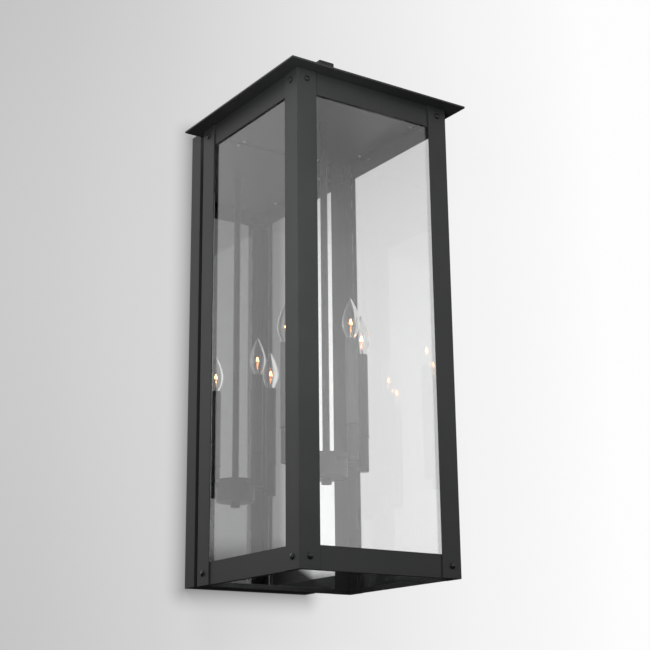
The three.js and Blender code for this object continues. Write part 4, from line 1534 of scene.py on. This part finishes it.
# Levels by the upward part of the direction, on the room's side and on the wall's side.
ROOM_RISE = ((-1.0, 0.03), (0.122, 0.04), (0.127, 1.0), (0.27, 0.98), (0.34, 0.8), (0.41, 0.42), (1.0, 0.6))
RIGHT_LIFT = ((-180.0, 0.0), (32.8, 0.0), (33.5, 0.0165), (60.0, 0.0165), (180.0, 0.0))
WALL_RISE = ((-1.0, 0.03), (0.0, 0.05), (0.122, 0.5), (0.127, 1.0), (1.0, 1.0))
# Two narrow strip boxes that put lines of light in the lamps.
STRIP_BOXES = (
    (-180.0, 0.0), (-78.5, 0.0), (-77.5, 3.6), (-73.5, 3.6), (-72.5, 0.0), (3.5, 0.0), (4.5, 3.6), (8.5, 3.6),
    (9.5, 0.0), (180.0, 0.0),
)
STRIP_RISE = ((-1.0, 0.0), (-0.05, 0.0), (0.05, 1.0), (0.55, 1.0), (0.65, 0.0), (1.0, 0.0))
# Painted light on the wall: its glow by its place across, in metres, brighter towards the right.
WALL_PAINTED_LIGHT = (
    (-1.2, 0.38), (-0.75, 0.45), (-0.42, 0.52), (-0.2, 0.59), (0.2, 0.76), (0.56, 0.87), (0.82, 0.92), (1.0, 0.96),
    (1.6, 0.97),
)

KEY_PLACE = (-0.6, -0.9, 0.12)
KEY_AIM = (0.0, -0.1, 0.0)
KEY_SIZE = 0.35
KEY_POWER = 10.0
BACKDROP_LEVEL = 0.85


@dataclass
class Studio:
    """Camera, lights, wall and floor."""

    camera_place: Point = (-1.3862, -2.3029, -0.7008)
    camera_yaw: float = 34.315
    camera_pitch: float = 16.132
    camera_roll: float = -0.586
    lens: float = 77.87
    wall_gap: float = 0.0015
    floor_height: float = -1.6
    shade_reach: float = 0.048
    shade_depth: float = 0.54

    def build(self) -> None:
        """Build the studio."""
        self._camera()
        self._wall()
        self._floor()
        self._world()
        self._key_light()
        view = bpy.context.scene.view_settings
        view.view_transform = "Standard"
        view.look = "None"
        cycles = bpy.context.scene.cycles
        cycles.max_bounces = 16
        cycles.transmission_bounces = 14
        cycles.glossy_bounces = 6
        cycles.transparent_max_bounces = 16

    def _camera(self) -> None:
        """Place the camera."""
        data = bpy.data.cameras.new("camera")
        data.lens = self.lens
        data.sensor_width = 36.0
        data.clip_start, data.clip_end = 0.05, 60.0
        camera = bpy.data.objects.new("camera", data)
        bpy.context.scene.collection.objects.link(camera)
        yaw, pitch = math.radians(self.camera_yaw), math.radians(self.camera_pitch)
        forward = Vector((math.sin(yaw) * math.cos(pitch), math.cos(yaw) * math.cos(pitch), math.sin(pitch)))
        level = forward.to_track_quat("-Z", "Y").to_matrix().to_4x4()
        roll = Matrix.Rotation(math.radians(self.camera_roll), 4, "Z")
        camera.matrix_world = Matrix.Translation(self.camera_place) @ level @ roll
        bpy.context.scene.camera = camera

    def _sheet(self, name: str, corners: Sequence[Point]) -> bpy.types.Object:
        """Make one flat stage surface.

        Args:
            name: Name of the surface.
            corners: Its corners, in order.

        Returns:
            The surface.
        """
        data = bpy.data.meshes.new(name)
        data.from_pydata(corners, [], [tuple(range(len(corners)))])
        sheet = bpy.data.objects.new(name, data)
        bpy.context.scene.collection.objects.link(sheet)
        return sheet

    def _wall(self) -> None:
        """Make the wall, which is seen only from the room's side and throws no light on the lantern; its glow is
        painted light, brighter to the right, with painted shade round the plate.
        """
        y = self.wall_gap
        wall = self._sheet("wall", [(-9, y, -9), (9, y, -9), (9, y, 9), (-9, y, 9)])
        material, build, shader = start_material("wall_paint")
        split = build.add("ShaderNodeSeparateXYZ")
        build.link(build.add("ShaderNodeTexCoord").outputs["Object"], split.inputs[0])
        # Painted light: the wall's emitted glow rises from left to right.
        tone = self._levels(build, split.outputs["X"], WALL_PAINTED_LIGHT)
        # Painted shade: the wall's glow is darkened close round the back plate.
        shade = self._plate_shade(build, split)
        build.link(build.math("MULTIPLY", tone, shade), shader.inputs["Emission Color"])
        shader.inputs["Emission Strength"].default_value = 1.0
        shader.inputs["Base Color"].default_value = (0.08, 0.08, 0.08, 1.0)
        shader.inputs["Roughness"].default_value = 0.9
        shader.inputs["Specular IOR Level"].default_value = 0.0
        self._show_one_side(wall, material, build, shader)

    def _show_one_side(self, sheet: bpy.types.Object, material: bpy.types.Material, build: NodeBuilder,
                       shader: bpy.types.Node) -> None:
        """Dress a sheet of the room so that it is clear from its far side and throws no light or shade.

        Args:
            sheet: Surface to dress.
            material: Its finish.
            build: Builder of the finish's tree.
            shader: Node that shades the side that shows.
        """
        clear = build.add("ShaderNodeBsdfTransparent")
        mixer = build.add("ShaderNodeMixShader")
        build.link(build.add("ShaderNodeNewGeometry").outputs["Backfacing"], mixer.inputs["Fac"])
        build.link(shader.outputs[0], mixer.inputs[1])
        build.link(clear.outputs[0], mixer.inputs[2])
        output = next(n for n in material.node_tree.nodes if n.type == "OUTPUT_MATERIAL")
        build.link(mixer.outputs[0], output.inputs["Surface"])
        sheet.data.materials.append(material)
        sheet.visible_shadow = False
        sheet.visible_diffuse = False
        sheet.visible_glossy = False

    def _plate_shade(self, build: NodeBuilder, split: bpy.types.Node) -> bpy.types.NodeSocket:
        """Painted soft shade on the wall close round the back plate.

        Args:
            build: Builder of the wall's material.
            split: The place on the wall, split into its parts.

        Returns:
            A factor that is 1 away from the plate.
        """
        low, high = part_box("back_plate")
        beside = [
            build.math("MAXIMUM", build.math("SUBTRACT", build.math("ABSOLUTE", split.outputs[axis]), reach), 0.0)
            for axis, reach in (("X", (high.x - low.x) / 2), ("Z", (high.z - low.z) / 2))
        ]
        squares = [build.math("MULTIPLY", part, part) for part in beside]
        distance = build.math("SQRT", build.math("ADD", *squares))
        near = build.math("POWER", build.remap(distance, 0.0, self.shade_reach, (1.0, 0.0)), 1.7)
        return build.math("SUBTRACT", 1.0, build.math("MULTIPLY", near, self.shade_depth))

    def _floor(self) -> None:
        """Make the pale floor, which throws no light on the lantern."""
        z = self.floor_height
        floor = self._sheet("floor", [(-9, -9, z), (9, -9, z), (9, 9, z), (-9, 9, z)])
        material, build, shader = start_material("floor_paint")
        shader.inputs["Base Color"].default_value = (0.8, 0.8, 0.8, 1.0)
        shader.inputs["Roughness"].default_value = 0.8
        self._show_one_side(floor, material, build, shader)

    def _levels(self, build: NodeBuilder, value: bpy.types.NodeSocket,
                stops: Sequence[tuple[float, float]]) -> bpy.types.NodeSocket:
        """Read a level off a list of stops.

        Args:
            build: Builder of the tree.
            value: What the stops run along.
            stops: Place and level of each stop, in rising order.

        Returns:
            The level, straight-lined between stops.
        """
        start, end = stops[0][0], stops[-1][0]
        ramp = build.add("ShaderNodeValToRGB")
        build.link(build.remap(value, start, end, (0.0, 1.0)), ramp.inputs["Fac"])
        elements = ramp.color_ramp.elements
        for element, (_, level) in zip((elements[0], elements[1]), (stops[0], stops[-1])):
            element.color = (level / 4, level / 4, level / 4, 1.0)
        for place, level in stops[1:-1]:
            elements.new((place - start) / (end - start)).color = (level / 4, level / 4, level / 4, 1.0)
        return build.math("MULTIPLY", ramp.outputs["Color"], 4.0)

    def _world(self) -> None:
        """Light the room: pale sides, a darker side behind the camera and a dark ground."""
        world = bpy.data.worlds.new("room")
        world.use_nodes = True
        bpy.context.scene.world = world
        build = NodeBuilder(world.node_tree)
        background = next(n for n in world.node_tree.nodes if n.type == "BACKGROUND")
        split = build.add("ShaderNodeSeparateXYZ")
        build.link(build.add("ShaderNodeTexCoord").outputs["Generated"], split.inputs[0])
        toward_room = build.math("MULTIPLY", split.outputs["Y"], -1.0)
        turn = build.math("MULTIPLY", build.math("ARCTAN2", split.outputs["X"], toward_room), 180 / math.pi)
        rise = split.outputs["Z"]
        behind = build.remap(split.outputs["Y"], -0.05, 0.05, (0.0, 1.0))
        lifted = build.math("ADD", rise, self._levels(build, turn, RIGHT_LIFT))
        front = build.math("MULTIPLY", self._levels(build, lifted, ROOM_RISE), build.math("SUBTRACT", 1.0, behind))
        back = build.math("MULTIPLY", self._levels(build, rise, WALL_RISE), behind)
        level = build.math("MULTIPLY", self._levels(build, turn, ROOM_RING), build.math("ADD", front, back))
        strips = self._levels(build, turn, STRIP_BOXES)
        strips = build.math("MULTIPLY", strips, self._levels(build, rise, STRIP_RISE))
        seen = build.math("MULTIPLY", build.add("ShaderNodeLightPath").outputs["Is Camera Ray"], BACKDROP_LEVEL)
        total = build.math("MAXIMUM", build.math("ADD", level, strips), seen)
        build.link(total, background.inputs["Strength"])
        background.inputs["Color"].default_value = (1.0, 1.0, 1.0, 1.0)

    def _key_light(self) -> None:
        """Place a soft square light low in front, on the left, which shows in no glass or mirror."""
        data = bpy.data.lights.new("key", "AREA")
        data.shape = "SQUARE"
        data.size = KEY_SIZE
        data.energy = KEY_POWER
        light = bpy.data.objects.new("key", data)
        bpy.context.scene.collection.objects.link(light)
        aim = Vector(KEY_AIM) - Vector(KEY_PLACE)
        light.matrix_world = Matrix.Translation(KEY_PLACE) @ aim.to_track_quat("-Z", "Y").to_matrix().to_4x4()
        light.visible_camera = False
        light.visible_glossy = False
        light.visible_transmission = False


def main() -> None:
    """Build the lantern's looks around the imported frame."""
    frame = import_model()
    CAD.update(frame["nodes"])
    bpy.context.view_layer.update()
    Studio().build()
    kit = Toolkit(Layout(), Finishes(SharedGroups()), HeadTree(), CoilTree())
    for part in (Cage, Glazing, Roof, Cluster, WallMount):
        LOG.info("building %s", part.__name__)
        part(kit).build()


if __name__ == "__main__":
    main()
